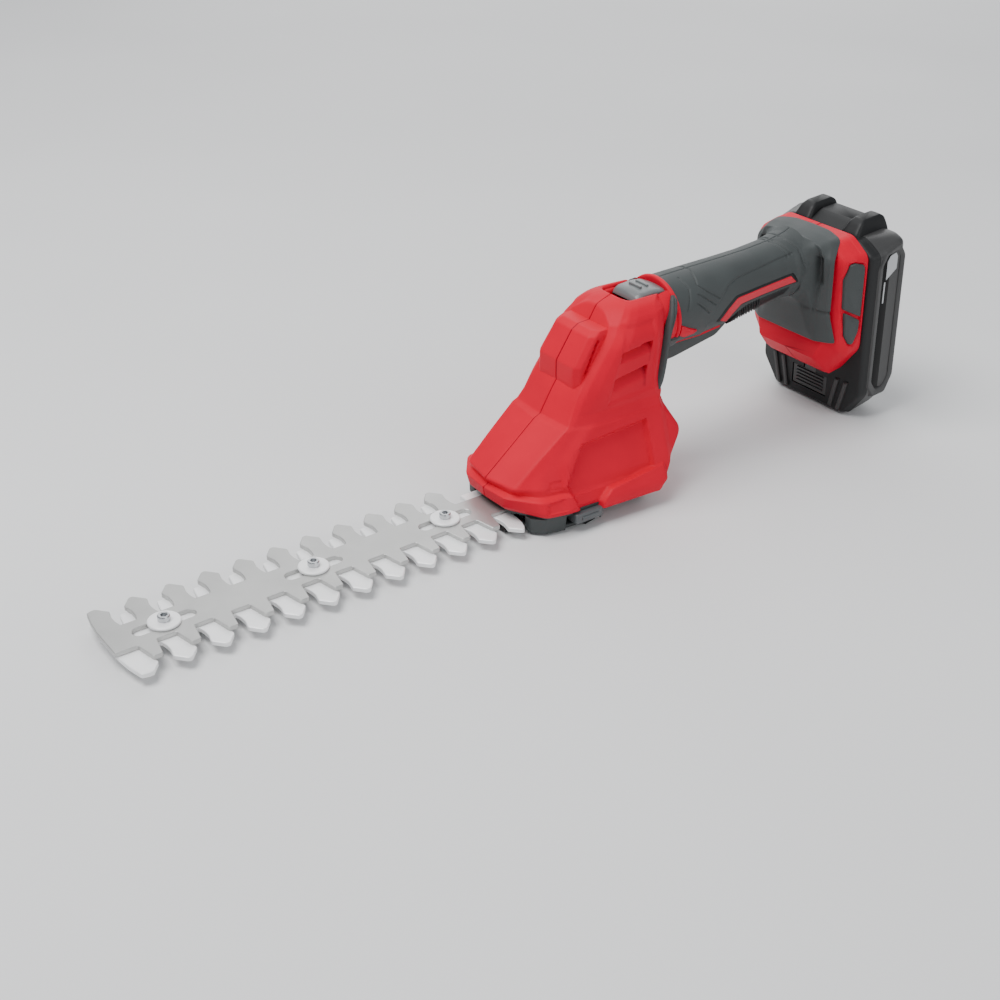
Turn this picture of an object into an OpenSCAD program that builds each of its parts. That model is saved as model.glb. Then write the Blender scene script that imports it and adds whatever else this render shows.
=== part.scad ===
// Cordless hand shears with a two-sided hedge blade. The head holds a motor, a gear
// and a crank that slides the upper blade over the lower one. A straight grip leads
// back to a foot that carries a slide-on battery pack.
// Origin: under the drive gear's axis, on the base plate's underside.
// X runs from the blade's tip to the battery, Y to the user's right, Z up.

/* [Blades] */
// Distance from one tooth to the next
tooth_pitch = 17; // [15:0.5:19]
// Long teeth on the lower blade
tooth_count = 12; // [8:1:13]
// Width over the points of the long teeth
blade_width = 51; // [46:0.5:52]
// Width of the solid band between the teeth
spine_width = 17.6; // [16:0.2:19]
// Thickness of each blade
blade_t = 2; // [1.6:0.1:2.2]
// Stroke of the upper blade
stroke = 17; // [12:0.5:17]
// Diameter of the guide washers
washer_d = 14.2; // [12:0.2:16]

/* [Head] */
// Length of the head's casing
head_length = 103; // [99:1:107]
// Width of the head's casing
head_width = 76; // [75:1:82]
// Height of the head's casing above the base plate
head_height = 88; // [86:1:94]
// Thickness of the casing's walls
wall = 3; // [2.4:0.1:3.4]
// Height of the base plate
base_height = 11; // [10.6:0.1:12]

/* [Grip] */
// Height of the grip's axis where it leaves the head
grip_height = 83; // [82:0.5:86]
// Rise of the grip towards the battery, in degrees
grip_tilt = 4; // [2:0.5:6]
// Length of the grip from the head's collar to the foot
grip_length = 93; // [86:1:105]
// Radius of the grip's hard core
core_r = 13.6; // [13.4:0.1:14.6]
// Thickness of the soft cover
skin_t = 1.8; // [1.2:0.1:2.4]

/* [Foot] */
// Width of the foot
foot_width = 66; // [62:1:72]
// Depth of the foot along the grip
foot_depth = 21; // [20:0.5:24]
// Height of the foot above the grip's axis
foot_rise = 12.5; // [11.5:0.5:14]
// Reach of the foot below the grip's axis
foot_drop = 64; // [62:1:70]

/* [Battery] */
// Depth of the battery pack behind the foot
pack_depth = 27.7; // [26.6:0.1:32]
// Width of the battery pack
pack_width = 72; // [71:1:78]
// Height of the pack's top above the grip's axis
pack_rise = 11; // [10.5:0.5:13]
// Thickness of the pack's walls
pack_wall = 2.2; // [1.8:0.1:2.4]
// Diameter of one cell
cell_d = 18.4; // [18:0.1:18.6]

/* [Drive] */
// Tooth size of the gears
gear_module = 0.8; // [0.75:0.01:0.82]
// Thickness of the gears
gear_t = 8; // [6:0.5:8.5]
// Diameter of the motor
motor_d = 36; // [32:0.5:36]
// Length of the motor's can
motor_l = 44; // [38:1:45]

/* [Controls] */
// Length of the lock slider's thumb plate
slider_l = 20; // [18:0.5:22]
// Width of the trigger
trigger_w = 15; // [12:0.5:15.5]
// Length of a blade release button
release_l = 17.2; // [14:0.2:18]

/* [Hidden] */
$fn = 48;

// Overrun of cuts past a face
over = 1;
// Gap between flat faces that slide
slide_gap = 0.1;
// Gap round pieces that only stand near each other
free_gap = 0.3;
// Radial gap of turning and screwed fits
fit_gap = 0.05;

// Blade stack, from the base plate's floor up
base_floor = 1.5;
carrier_t = 2.5;
blade_z = base_floor + carrier_t;
upper_z = blade_z + blade_t + slide_gap;
washer_z = upper_z + blade_t + slide_gap;
washer_t = 1.2;
heel_x = -36;
tip_x = heel_x - (tooth_count - 1) * tooth_pitch;
tooth_l = (blade_width - spine_width) / 2;
upper_shift_share = -0.14;
long_tooth_shares = [[-0.29, 0], [-0.245, 0.2], [-0.24, 0.42], [-0.31, 0.7], [-0.05, 1], [0.05, 1],
    [0.31, 0.7], [0.24, 0.42], [0.245, 0.2], [0.29, 0]];
short_tooth_shares = [[-0.245, 0], [-0.125, 0.61], [0.125, 0.61], [0.245, 0]];
tip_tooth_shares = [[-0.405, 0], [-0.35, 0.5], [-0.24, 0.96], [-0.05, 1], [0.05, 1], [0.31, 0.7],
    [0.24, 0.42], [0.245, 0.2], [0.29, 0]];
upper_tip_shares = [[-0.32, 0], [-0.27, 0.5], [-0.18, 0.96], [-0.05, 1], [0.05, 1], [0.31, 0.7],
    [0.24, 0.42], [0.245, 0.2], [0.29, 0]];
heel_tooth_shares = [[-0.29, 0], [-0.245, 0.2], [-0.24, 0.42], [-0.31, 0.7], [-0.05, 0.98], [0.06, 0.98],
    [0.36, 0.55]];
bolt_shares = [0.096, 0.479, 0.857];
blade_l = heel_x - tip_x;
slot_l = 28.4;
slot_w = 6;
spacer_r = slot_w / 2 - slide_gap;
bolt_r = 2;
bolt_head_r = 2.6;
bolt_head_h = 2.6;
socket_r = 1.4;
tail_end = -21;
tail_w = 34;
tail_start = -42;
yoke_half_l = 10.2;
yoke_w = 34;
carrier_screw_at = [-27, 13];

// Crank and gears
crank_e = stroke / 2;
crank_lag_share = 0.211;
roller_r = 4;
pin_r = 2.5;
pin_head_r = 3.4;
pin_head_h = 0.8;
yoke_play = 0.25;
yoke_slot_half = roller_r + crank_lag_share * crank_e + yoke_play;
yoke_slot_w = 2 * (crank_e + roller_r + yoke_play);
gear_teeth = 52;
pinion_teeth = 13;
pressure_angle = 20;
addendum_share = 0.8;
dedendum_share = 1.15;
backlash_share = 0.12;
flank_shares = [0, 0.3, 0.6, 0.8, 1];
gear_z = 20;
gear_gap = 1.5;
gear_r = gear_module * gear_teeth / 2;
motor_x = gear_module * (gear_teeth + pinion_teeth) / 2;
shaft_r = 3;
shaft_tail = 1.4;
bush_r = 4.5;
clip_r = 5.5;
clip_t = 0.8;
web_r = 15;
web_cut = 2.2;

// Gearbox plate and motor
plate_z = gear_z + gear_t + gear_gap;
plate_t = 3.5;
plate_nose_r = 22.4;
plate_side = 14;
plate_w = head_width - 2 * plate_side;
plate_end = 46;
plate_screw_x = [19, 39];
plate_screw_in = 2;
plate_screw_y = plate_w / 2 - plate_screw_in;
motor_z = plate_z + plate_t;
motor_top = motor_z + motor_l;
can_t = 1.2;
cap_flange_t = 2;
cap_r = 13;
cap_h = 6;
bearing_r = 4.5;
bearing_t = 3;
rotor_shaft_r = 1.6;
rotor_r = 12.5;
rotor_clear = 9;
magnet_in_r = 13.3;
magnet_side_share = 0.5;
motor_screw_y = 9.5;
pinion_hole_r = 7;

// Screws
screw_r = 1.5;
screw_head_r = 2.6;
screw_head_h = 2;
boss_r = 3.4;

// Head casing: rings from the bottom edge to the top, each as a height share and
// points from the middle of the front, round one side, to the middle of the back
nose_reach = 40;
head_ring_shares = [
    [0, [[0.024, 0], [0.029, 0.342], [0.126, 0.816], [0.233, 0.887], [0.35, 0.911], [0.762, 0.987],
        [0.806, 0.816], [0.816, 0]]],
    [0.028, [[0.005, 0], [0.015, 0.368], [0.121, 0.832], [0.233, 0.895], [0.33, 0.905], [0.796, 1],
        [0.845, 0.816], [0.854, 0]]],
    [0.102, [[0.005, 0], [0.019, 0.421], [0.117, 0.697], [0.233, 0.753], [0.272, 0.816], [0.864, 0.934],
        [0.913, 0.763], [0.922, 0]]],
    [0.132, [[0, 0], [0.034, 0.474], [0.126, 0.658], [0.233, 0.742], [0.257, 0.789], [0.883, 0.916],
        [0.932, 0.737], [0.942, 0]]],
    [0.245, [[0.117, 0], [0.138, 0.495], [0.194, 0.579], [0.233, 0.632], [0.282, 0.711], [0.968, 0.829],
        [0.99, 0.658], [0.995, 0]]],
    [0.398, [[0.276, 0], [0.301, 0.526], [0.325, 0.553], [0.369, 0.587], [0.417, 0.618], [0.874, 0.684],
        [0.922, 0.526], [0.932, 0]]],
    [0.415, [[0.311, 0], [0.325, 0.513], [0.35, 0.545], [0.393, 0.579], [0.447, 0.611], [0.864, 0.671],
        [0.913, 0.513], [0.922, 0]]],
    [0.466, [[0.336, 0], [0.351, 0.479], [0.374, 0.526], [0.427, 0.566], [0.485, 0.595], [0.84, 0.632],
        [0.893, 0.5], [0.908, 0]]],
    [0.557, [[0.38, 0], [0.388, 0.445], [0.413, 0.516], [0.466, 0.574], [0.524, 0.6], [0.816, 0.616],
        [0.879, 0.487], [0.893, 0]]],
    [0.83, [[0.534, 0], [0.536, 0.421], [0.563, 0.526], [0.602, 0.592], [0.65, 0.624], [0.816, 0.618],
        [0.879, 0.526], [0.893, 0]]],
    [0.92, [[0.602, 0], [0.607, 0.316], [0.631, 0.421], [0.67, 0.474], [0.718, 0.487], [0.835, 0.487],
        [0.898, 0.421], [0.913, 0]]],
    [1, [[0.718, 0], [0.723, 0.158], [0.738, 0.211], [0.757, 0.237], [0.796, 0.237], [0.854, 0.237],
        [0.913, 0.211], [0.922, 0]]]];
// Raised pod on the column's front, in the same shares
pod_ring_shares = [
    [0.57, [[0.402, 0.328], [0.42, 0.395], [0.621, 0.395]]],
    [0.601, [[0.399, 0.328], [0.424, 0.395], [0.621, 0.395]]],
    [0.703, [[0.397, 0.328], [0.422, 0.395], [0.621, 0.395]]],
    [0.862, [[0.486, 0.308], [0.511, 0.38], [0.621, 0.38]]],
    [0.877, [[0.52, 0.287], [0.538, 0.36], [0.621, 0.36]]]];
vent_shares = [
    [[0.52, 0.53], [0.721, 0.56], [0.73, 0.62], [0.684, 0.64], [0.53, 0.6]],
    [[0.557, 0.68], [0.739, 0.71], [0.748, 0.78], [0.703, 0.8], [0.566, 0.75]]];
vent_reach_share = 0.41;
base_inset = 1.5;
flange_t = 2.5;
front_block_end = 4;
base_tail = 40;
base_tail_w = 50;
ledge_start = 16;
ledge_end = 42;
ledge_h = 3.5;
ledge_lap = 4;
ledge_root = 5;
ledge_in = plate_w / 2 - ledge_lap;
ledge_out = plate_w / 2 + ledge_root;
base_bolt_in = 9.5;
base_bolt_x = [14, 36];
base_bolts = [for (x = base_bolt_x) [x, head_width / 2 - base_bolt_in]];
base_boss_h = 8;
head_boss_at = [[-27.5, 16.5], [43, 18], [29, 88.2]];
head_boss_shares = [0.645, 0.88, 0.484];
head_bosses = [for (i = [0:len(head_boss_at) - 1])
    [head_boss_at[i][0], head_boss_at[i][1], head_boss_shares[i] * head_width / 2]];
grip_boss_share = 0.73;
grip_boss_low = -6.3;
grip_boss_half = 11.2;
foot_boss_in = 5;
foot_boss_low = -43;
foot_boss_side = 4.5;
grip_bosses = [[grip_boss_share * grip_length, grip_boss_low, grip_boss_half],
    [grip_length + foot_boss_in, foot_boss_low, foot_width / 2 - foot_boss_side]];
screw_sink = 4;
screw_reach_share = 1.3;

// Grip, neck and collar, measured along the grip's own axis from its start
grip_x = 64;
neck_r = 17.4;
neck_start = -16;
collar_r = 18.6;
collar_start = -3;
collar_end = 1.5;
bore_start = -22;
grip_sag = 4;
grip_sides = 40;
grip_bore_r = core_r - wall;
cover_start = 2;
saddle_end_share = 0.4;
saddle_low_share = 0.3;

// Foot and the pack's rail, in the grip's frame
foot_h = foot_rise + foot_drop;
foot_ring_shares = [
    [0, [[0.967, 0.606], [0.876, 0.818], [0.314, 0.818], [0.17, 0.62]]],
    [0.476, [[1, 0.667], [0.9, 1], [0.222, 1], [0, 0.636]]],
    [1, [[1, 0.667], [0.9, 1], [0.222, 1], [0, 0.636]]]];
foot_back = grip_length + foot_depth;
chamber_depth = 8.5;
rail_depth = 10;
rail_lip = 4;
rail_w = 49;
neck_w = 41;
rail_top = 2.5;
pad_t = 1.6;
pad_w_share = 0.62;
pad_h_share = 0.55;
pad_at_share = 0.57;

// Battery pack, in the grip's frame
pack_x = foot_back + free_gap;
pack_ring_shares = [
    [0, [[0.98, 0.694], [0.935, 0.944], [0.152, 0.944], [0.035, 0.667]]],
    [0.206, [[1, 0.75], [0.955, 1], [0.152, 1], [0, 0.694]]],
    [0.784, [[1, 0.75], [0.955, 1], [0.152, 1], [0.02, 0.694]]],
    [1, [[0.961, 0.639], [0.916, 0.861], [0.191, 0.861], [0.074, 0.556]]]];
lowest_share = pack_ring_shares[1][0];
pack_low = -(grip_height + (pack_x + lowest_share * pack_depth) * sin(grip_tilt)) / cos(grip_tilt);
pack_h = pack_rise - pack_low;
seam_depth = 6.5;
pack_seam = pack_x + seam_depth;
tongue_l = 52;
tongue_gap = 0.35;
horn_in = 12;
horn_w = 9;
horn_h = 7;
horn_front = 4;
horn_l = 22;
plate_in = 0.8;
plate_out = 0.5;
label_l_share = 0.62;
label_h_share = 0.8;
label_at_share = 0.53;
cell_count = 4;
cell_top_share = 0.823;
cell_end_gap = 1.3;
cell_l = pack_width - 2 * (pack_wall + cell_end_gap);
cell_step = cell_d + 2 * slide_gap;
cell_x = pack_x + pack_depth - pack_wall - cell_d / 2 - free_gap;
cell_top = pack_low + cell_top_share * pack_h;
strap_t = 0.2;
strap_w = 8;
latch_w = 8;
latch_high = -46;
latch_tooth_h = 4;
latch_t = 3;
latch_recess = 0.5;
button_w = 24;
button_high = -73;
button_low = -84;
latch_travel = 2.6;
latch_gap = 0.5;

// Terminals, board, switch and wiring, in the grip's frame
block_size = [5, 30, 6];
blade_places = [-9, 0, 9];
terminal_size = [4, 0.8, 14];
board_size = [1.6, 36, 42];
board_low = -36;
switch_size = [20, 12, 10.5];
switch_at = [8, 0, -2.5];
plunger_r = 2;
plunger_u = 14.5;
plunger_l = 7.2;
plunger_hole = 9;
rib_t = 2;
rib_low = 3;
rib_h = 5;
lead_r = 1.1;
lead_y = 4;
lead_w = 0.5;
motor_lead_end = [34, 6];

// Trigger, in the grip's frame
trigger_pivot = [46, -8];
trigger_reach = 53;
trigger_drop = 17.4;
trigger_shares = [[0, 0.23], [0.11, 0.58], [0.245, 0.83], [0.79, 1], [0.96, 0.98], [1, 0.69], [0.94, 0.32],
    [0.65, 0.2], [0.64, -0.023], [0.547, -0.023], [0.51, 0.2], [0.19, 0.06], [0.06, -0.15]];
trigger_boss_r = 4;
trigger_open = [-10, 51.5];
trigger_pin_r = 1.5;
trigger_pin_l = 22;
spring_slot_w = 6.4;
spring_slot_r = 5;
coil_gap = 0.35;

// Lock slider
slider_x = 41;
slider_w = 18.2;
slider_floor = 94;
slider_floor_t = 3;
slider_top = 98.7;
slider_travel = 5;
slider_pocket_end = 63;
stem_w = 7.2;
stem_l = 6;
slider_foot_w = 14;
slider_foot_l = 10;
slider_foot_t = 2.3;
slider_floor_w = 22;
slider_spring_z = 88.4;
slider_grip_l = 1.6;
slider_grip_w = 8;
slider_grip_h = 0.7;

// Blade release buttons
release_x = -14.6;
release_z = 4.4;
release_h = 5.4;
release_set = 3;
release_depth = 9;
release_spring_l = 6.8;
release_out = head_width / 2 - release_set;
release_in = release_out - release_depth;
release_back = release_in - release_spring_l;
release_travel = 3;
channel_front_w = 53.2;
channel_gap = 1;
channel_w = yoke_w + 2 * channel_gap;
channel_step = -18;
channel_end = 22;

// Rubber strips down the back edge of the column
strip_shares = [[0.856, 0.58], [0.886, 0.5]];
strip_z = [54, 90];
strip_w = 3.4;
strip_proud = 1;

// Coil springs
coil_steps = 8;
wire_sides = 6;
wire_r = 0.4;
spring_r = 1.8;

// Colours
red = [0.78, 0.09, 0.11];
charcoal = [0.16, 0.17, 0.18];
black = [0.07, 0.07, 0.08];
steel = [0.72, 0.73, 0.74];
bright = [0.86, 0.87, 0.88];
grey = [0.36, 0.38, 0.4];
bronze = [0.66, 0.5, 0.3];
green = [0.1, 0.35, 0.2];
blue = [0.15, 0.3, 0.6];

function flat(lists) = [for (l = lists) for (p = l) p];
function unit(v) = v / norm(v);
function left(v) = [-v[1], v[0]];
// Corner b of an outline a, b, c moved in by d along both of its edges
function inset_corner(a, b, c, d) =
    let (m = left(unit(b - a)), n = left(unit(c - b)), k = unit(m + n)) b + k * d / (k * m);
function inset(p, d) = [for (i = [0:len(p) - 1])
    inset_corner(p[(i + len(p) - 1) % len(p)], p[i], p[(i + 1) % len(p)], d)];
// Whole outline from the points of one side, mirrored across y = 0
function mirrored(half) = concat([for (p = half) [p[0], -p[1]]],
    [for (i = [len(half) - 1:-1:0]) if (half[i][1] > 0) half[i]]);
function reversed(list) = [for (i = [len(list) - 1:-1:0]) list[i]];
// Points of count teeth from the tip towards the heel, on one side of the band
function tooth_row(shares, first, count, side) = [for (i = [0:count - 1]) for (s = shares)
    [first + (i + s[0]) * tooth_pitch, side * (spine_width / 2 + s[1] * tooth_l)]];
// Edge of a blade that carries the long teeth, from the tip
function long_edge(tip, first, count, side) = concat(tooth_row(tip, first, 1, side),
    tooth_row(long_tooth_shares, first + tooth_pitch, count - 1, side));
// Edge of a blade that carries the short teeth, from the tip
function short_edge(tip, first, count, side) = concat(tooth_row([tip[0]], first, 1, side),
    tooth_row(short_tooth_shares, first + tooth_pitch / 2, count, side));
function head_point(s) = [s[0] * head_length - nose_reach, s[1] * head_width / 2];
function head_outline(half, d) = inset(mirrored([for (s = half) head_point(s)]), d);
function head_side(shares) = [for (s = shares)
    [s[0] * head_length - nose_reach, base_height + s[1] * head_height]];
function head_ring(ring, d, drop) = [for (p = head_outline(ring[1], d))
    [p[0], p[1], base_height + ring[0] * (head_height - d) - drop]];
// Upright ring across the grip at u, from shares of a width and a height above low
function grip_ring(half, u, width, low, height, d) =
    let (outline = mirrored([for (s = half) [s[0] * height + low, s[1] * width / 2]]))
    [for (p = inset([for (q = outline) [q[1], q[0]]], d)) [u, p[0], p[1]]];
// Outline across the grip, its lower half let down
function grip_outline(r) = [for (i = [0:grip_sides - 1]) let (a = i * 360 / grip_sides)
    [-r * sin(a), r * cos(a) - (cos(a) < 0 ? grip_sag : 0)]];
function grip_point(p) = [grip_x + p[0] * cos(grip_tilt) - p[2] * sin(grip_tilt), p[1],
    grip_height + p[0] * sin(grip_tilt) + p[2] * cos(grip_tilt)];
function involute(a) = tan(a) * 180 / PI - a;
// Half of a tooth's angle at radius r on a gear of n teeth
function tooth_half(r, n) = let (rb = gear_module * n / 2 * cos(pressure_angle))
    (1 - backlash_share) * 90 / n + involute(pressure_angle) - involute(acos(min(1, rb / r)));
function polar(r, a) = [r * cos(a), r * sin(a)];
function gear_outline(n) =
    let (low = gear_module * (n / 2 - dedendum_share), high = gear_module * (n / 2 + addendum_share),
        radii = [for (s = flank_shares) low + s * (high - low)], last = len(radii) - 1)
    [for (i = [0:n - 1]) each concat(
        [for (k = [0:last]) polar(radii[k], i * 360 / n - tooth_half(radii[k], n))],
        [for (k = [last:-1:0]) polar(radii[k], i * 360 / n + tooth_half(radii[k], n))])];

// Closed skin through rings of points, counter-clockwise seen from the last ring
module loft(rings) {
    n = len(rings[0]);
    m = len(rings);
    first_cap = [for (i = [0:n - 1]) i];
    last_cap = [for (i = [n - 1:-1:0]) (m - 1) * n + i];
    sides = [for (j = [0:m - 2]) for (i = [0:n - 1]) each [
        [j * n + i, (j + 1) * n + i, j * n + (i + 1) % n],
        [j * n + (i + 1) % n, (j + 1) * n + i, (j + 1) * n + (i + 1) % n]]];
    polyhedron(flat(rings), concat([first_cap], sides, [last_cap]));
}

module in_grip() {
    translate([grip_x, 0, grip_height]) rotate([0, -grip_tilt, 0]) children();
}

// Cylinder along X between two places
module rod_x(from, to, r) {
    translate([from, 0, 0]) rotate([0, 90, 0]) cylinder(h = to - from, r = r);
}

// Bar of the grip's own outline along X
module grip_rod(from, to, r) {
    translate([from, 0, 0]) rotate([90, 0, 90]) linear_extrude(to - from) polygon(grip_outline(r));
}

// Cylinder along Y between two places
module rod_y(from, to, r) {
    translate([0, from, 0]) rotate([-90, 0, 0]) cylinder(h = to - from, r = r);
}

// Block between two corners, centred across Y on a width
module block(from, to, width, low, high) {
    translate([from, -width / 2, low]) cube([to - from, width, high - low]);
}

module side_prism(points, from, to) {
    translate([0, to, 0]) rotate([90, 0, 0]) linear_extrude(to - from) polygon(points);
}

module rod_between(a, b, r) {
    d = b - a;
    translate(a) rotate([0, acos(d[2] / norm(d)), atan2(d[1], d[0])]) cylinder(h = norm(d), r = r);
}

module both_sides() {
    children();
    mirror([0, 1, 0]) children();
}

// Screw along Z, its head standing up from z = 0
module screw(length) {
    translate([0, 0, -length]) cylinder(h = length, r = screw_r);
    difference() {
        cylinder(h = screw_head_h, r = screw_head_r);
        translate([0, 0, screw_head_h / 2]) cylinder(h = screw_head_h, r = socket_r, $fn = 6);
    }
}

// Wire wound round Z from z = 0 to a length
module coil(turns, r, length) {
    count = turns * coil_steps;
    rise = (length - 2 * wire_r) / count;
    rings = [for (i = [0:count]) let (a = i * 360 / coil_steps, z = wire_r + i * rise)
        [for (k = [0:wire_sides - 1]) let (b = k * 360 / wire_sides, q = r + wire_r * cos(b))
            [q * cos(a), q * sin(a), z - wire_r * sin(b)]]];
    n = wire_sides;
    sides = [for (j = [0:count - 1]) for (i = [0:n - 1]) each [
        [j * n + i, j * n + (i + 1) % n, (j + 1) * n + i],
        [j * n + (i + 1) % n, (j + 1) * n + (i + 1) % n, (j + 1) * n + i]]];
    first_cap = [for (i = [n - 1:-1:0]) i];
    last_cap = [for (i = [0:n - 1]) count * n + i];
    polyhedron(flat(rings), concat([first_cap], sides, [last_cap]));
}

// Outer forms of the casing, moved in by d

module head_form(d) {
    drop = d > 0 ? over : 0;
    loft([for (i = [0:len(head_ring_shares) - 1]) head_ring(head_ring_shares[i], d, i == 0 ? drop : 0)]);
}

module pod_form(d) {
    loft([for (r = pod_ring_shares) head_ring(r, d, 0)]);
}

module foot_form(d) {
    loft([for (r = foot_ring_shares)
        grip_ring(r[1], grip_length + d + r[0] * (foot_depth - 2 * d), foot_width, -foot_drop, foot_h, d)]);
}

module pack_form(d) {
    loft([for (r = pack_ring_shares)
        grip_ring(r[1], pack_x + d + r[0] * (pack_depth - 2 * d), pack_width, pack_low, pack_h, d)]);
}

module casing_outside() {
    head_form(0);
    pod_form(0);
    in_grip() {
        rod_x(neck_start, collar_start, neck_r);
        rod_x(collar_start, collar_end, collar_r);
        grip_rod(collar_end, grip_length + wall / 2, core_r);
        foot_form(0);
    }
}

module casing_inside() {
    head_form(wall);
    pod_form(wall);
    translate([motor_x, 0, plate_z])
        cylinder(h = motor_top + cap_flange_t + free_gap - plate_z, r = motor_d / 2 + free_gap);
    in_grip() {
        rod_x(bore_start, collar_start, neck_r - wall);
        rod_x(collar_start - over, grip_length + wall + over, grip_bore_r);
        intersection() {
            foot_form(wall);
            block(grip_length, grip_length + chamber_depth, foot_width, -foot_drop, foot_rise);
        }
    }
}

module casing_ribs() {
    both_sides() {
        translate([ledge_start, ledge_in, plate_z - ledge_h])
            cube([ledge_end - ledge_start, ledge_out - ledge_in, ledge_h]);
        for (p = base_bolts) translate([p[0], p[1], base_height]) cylinder(h = base_boss_h, r = boss_r);
    }
    block(slider_x - slider_travel - over, slider_pocket_end, slider_floor_w,
        slider_floor - slider_floor_t, slider_floor);
    for (b = head_bosses) translate([b[0], 0, b[1]]) rod_y(-b[2], b[2], boss_r);
    in_grip() {
        for (b = grip_bosses) translate([b[0], 0, b[1]]) rod_y(-b[2], b[2], boss_r);
        block(switch_at[0] + switch_size[0], switch_at[0] + switch_size[0] + rib_t, 2 * grip_bore_r,
            rib_low, rib_low + rib_h);
    }
}

module rail_slot() {
    foot_rail = foot_back - rail_depth;
    block(foot_rail, foot_back - rail_lip, rail_w, -foot_drop - over, rail_top);
    block(foot_back - rail_lip - over, foot_back + over, neck_w, -foot_drop - over, rail_top);
    block(foot_rail, foot_rail + block_size[0], block_size[1], rail_top - over, rail_top + block_size[2]);
    for (s = [-1, 1]) translate([0, s * lead_y, rail_top + block_size[2] / 2])
        rod_x(grip_length + chamber_depth - over, foot_rail + over, lead_r + fit_gap);
}

module casing_cuts() {
    block(slider_x - slider_travel - 2 * slide_gap - over, slider_pocket_end, slider_w + 2 * free_gap,
        slider_floor, base_height + head_height + grip_height);
    stem_x = slider_x + slider_foot_l / 2;
    block(stem_x - slider_travel - over / 2, stem_x + stem_l + 2 * over,
        stem_w + 2 * free_gap, slider_floor - slider_floor_t - over, slider_floor + over);
    for (v = vent_shares) both_sides()
        side_prism(head_side(v), vent_reach_share * head_width / 2, head_width);
    for (p = base_bolts) both_sides()
        translate([p[0], p[1], base_height - over]) cylinder(h = base_boss_h, r = screw_r + fit_gap);
    for (x = plate_screw_x) both_sides()
        translate([x, plate_screw_y, plate_z - ledge_h - over])
            cylinder(h = ledge_h + 2 * over, r = screw_r + fit_gap);
    for (b = head_bosses) translate([b[0], 0, b[1]]) screw_hole(b[2]);
    in_grip() {
        block(trigger_open[0], trigger_open[1], trigger_w + 2 * free_gap + 2 * fit_gap, -2 * core_r, 0);
        translate([trigger_pivot[0], 0, trigger_pivot[1]])
            rod_y(-trigger_pin_l / 2 - slide_gap, trigger_pin_l / 2 + slide_gap, trigger_pin_r + fit_gap);
        for (b = grip_bosses) translate([b[0], 0, b[1]]) screw_hole(b[2]);
        rail_slot();
        both_sides() pad(pad_t + over, 2 * fit_gap);
    }
    both_sides() strip();
}

// Hole for a screw that comes in from the right and ends in the left half
module screw_hole(half) {
    rod_y(-half + wall, half - screw_sink + over / 2, screw_r + fit_gap);
    rod_y(half - screw_sink, half + head_width, screw_head_r + fit_gap);
}

module casing() {
    difference() {
        union() {
            difference() {
                casing_outside();
                casing_inside();
            }
            casing_ribs();
        }
        casing_cuts();
    }
}

module half_space(side) {
    size = 4 * head_length;
    translate([-size / 2, side > 0 ? 0 : -size, -size / 2]) cube(size);
}

module housing_left() {
    color(red) intersection() {
        casing();
        half_space(-1);
    }
}

module housing_right() {
    color(red) intersection() {
        casing();
        half_space(1);
    }
}

// Soft cover over the grip and the front of the foot
module grip_cover() {
    saddle_end = grip_length + saddle_end_share * foot_depth;
    saddle_low = -foot_drop + saddle_low_share * foot_h;
    in_grip() difference() {
        union() {
            grip_rod(cover_start, grip_length, core_r + skin_t);
            intersection() {
                foot_form(-skin_t);
                block(grip_length - skin_t, saddle_end, foot_width, saddle_low, foot_rise + skin_t);
            }
        }
        grip_rod(cover_start - over, grip_length + wall, core_r);
        foot_form(0);
        block(trigger_open[0], trigger_open[1], trigger_w + 2 * free_gap + 2 * fit_gap, -2 * core_r, 0);
        for (b = grip_bosses) translate([b[0], 0, b[1]]) rod_y(0, head_width, screw_head_r + fit_gap);
        both_sides() pad(head_width, free_gap);
    }
}

module grip_cover_left() {
    color(charcoal) intersection() {
        grip_cover();
        half_space(-1);
    }
}

module grip_cover_right() {
    color(charcoal) intersection() {
        grip_cover();
        half_space(1);
    }
}

// Bar let into the column's back edge
module strip() {
    a = concat(head_point(strip_shares[0]), [strip_z[0]]);
    b = concat(head_point(strip_shares[1]), [strip_z[1]]);
    d = b - a;
    translate(a) rotate([0, acos(d[2] / norm(d)), atan2(d[1], d[0])])
        translate([-strip_w / 2, -strip_w / 2, 0]) cube([strip_w, strip_w + strip_proud, norm(d)]);
}

module rear_strips() {
    color(charcoal) both_sides() strip();
}

// Rubber pad on the side of the foot, let in by its thickness
module pad(thick, gap) {
    long = pad_w_share * foot_depth + 2 * gap;
    high = pad_h_share * foot_h + 2 * gap;
    middle_u = grip_length + pad_at_share * foot_depth + (1 - pad_at_share) * pad_t;
    middle_w = pad_at_share * foot_h - foot_drop;
    translate([middle_u - long / 2, foot_width / 2 - pad_t / 2, middle_w - high / 2])
        cube([long, thick, high]);
}

module foot_pads() {
    color(charcoal) in_grip() both_sides() pad(pad_t, 0);
}

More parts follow.
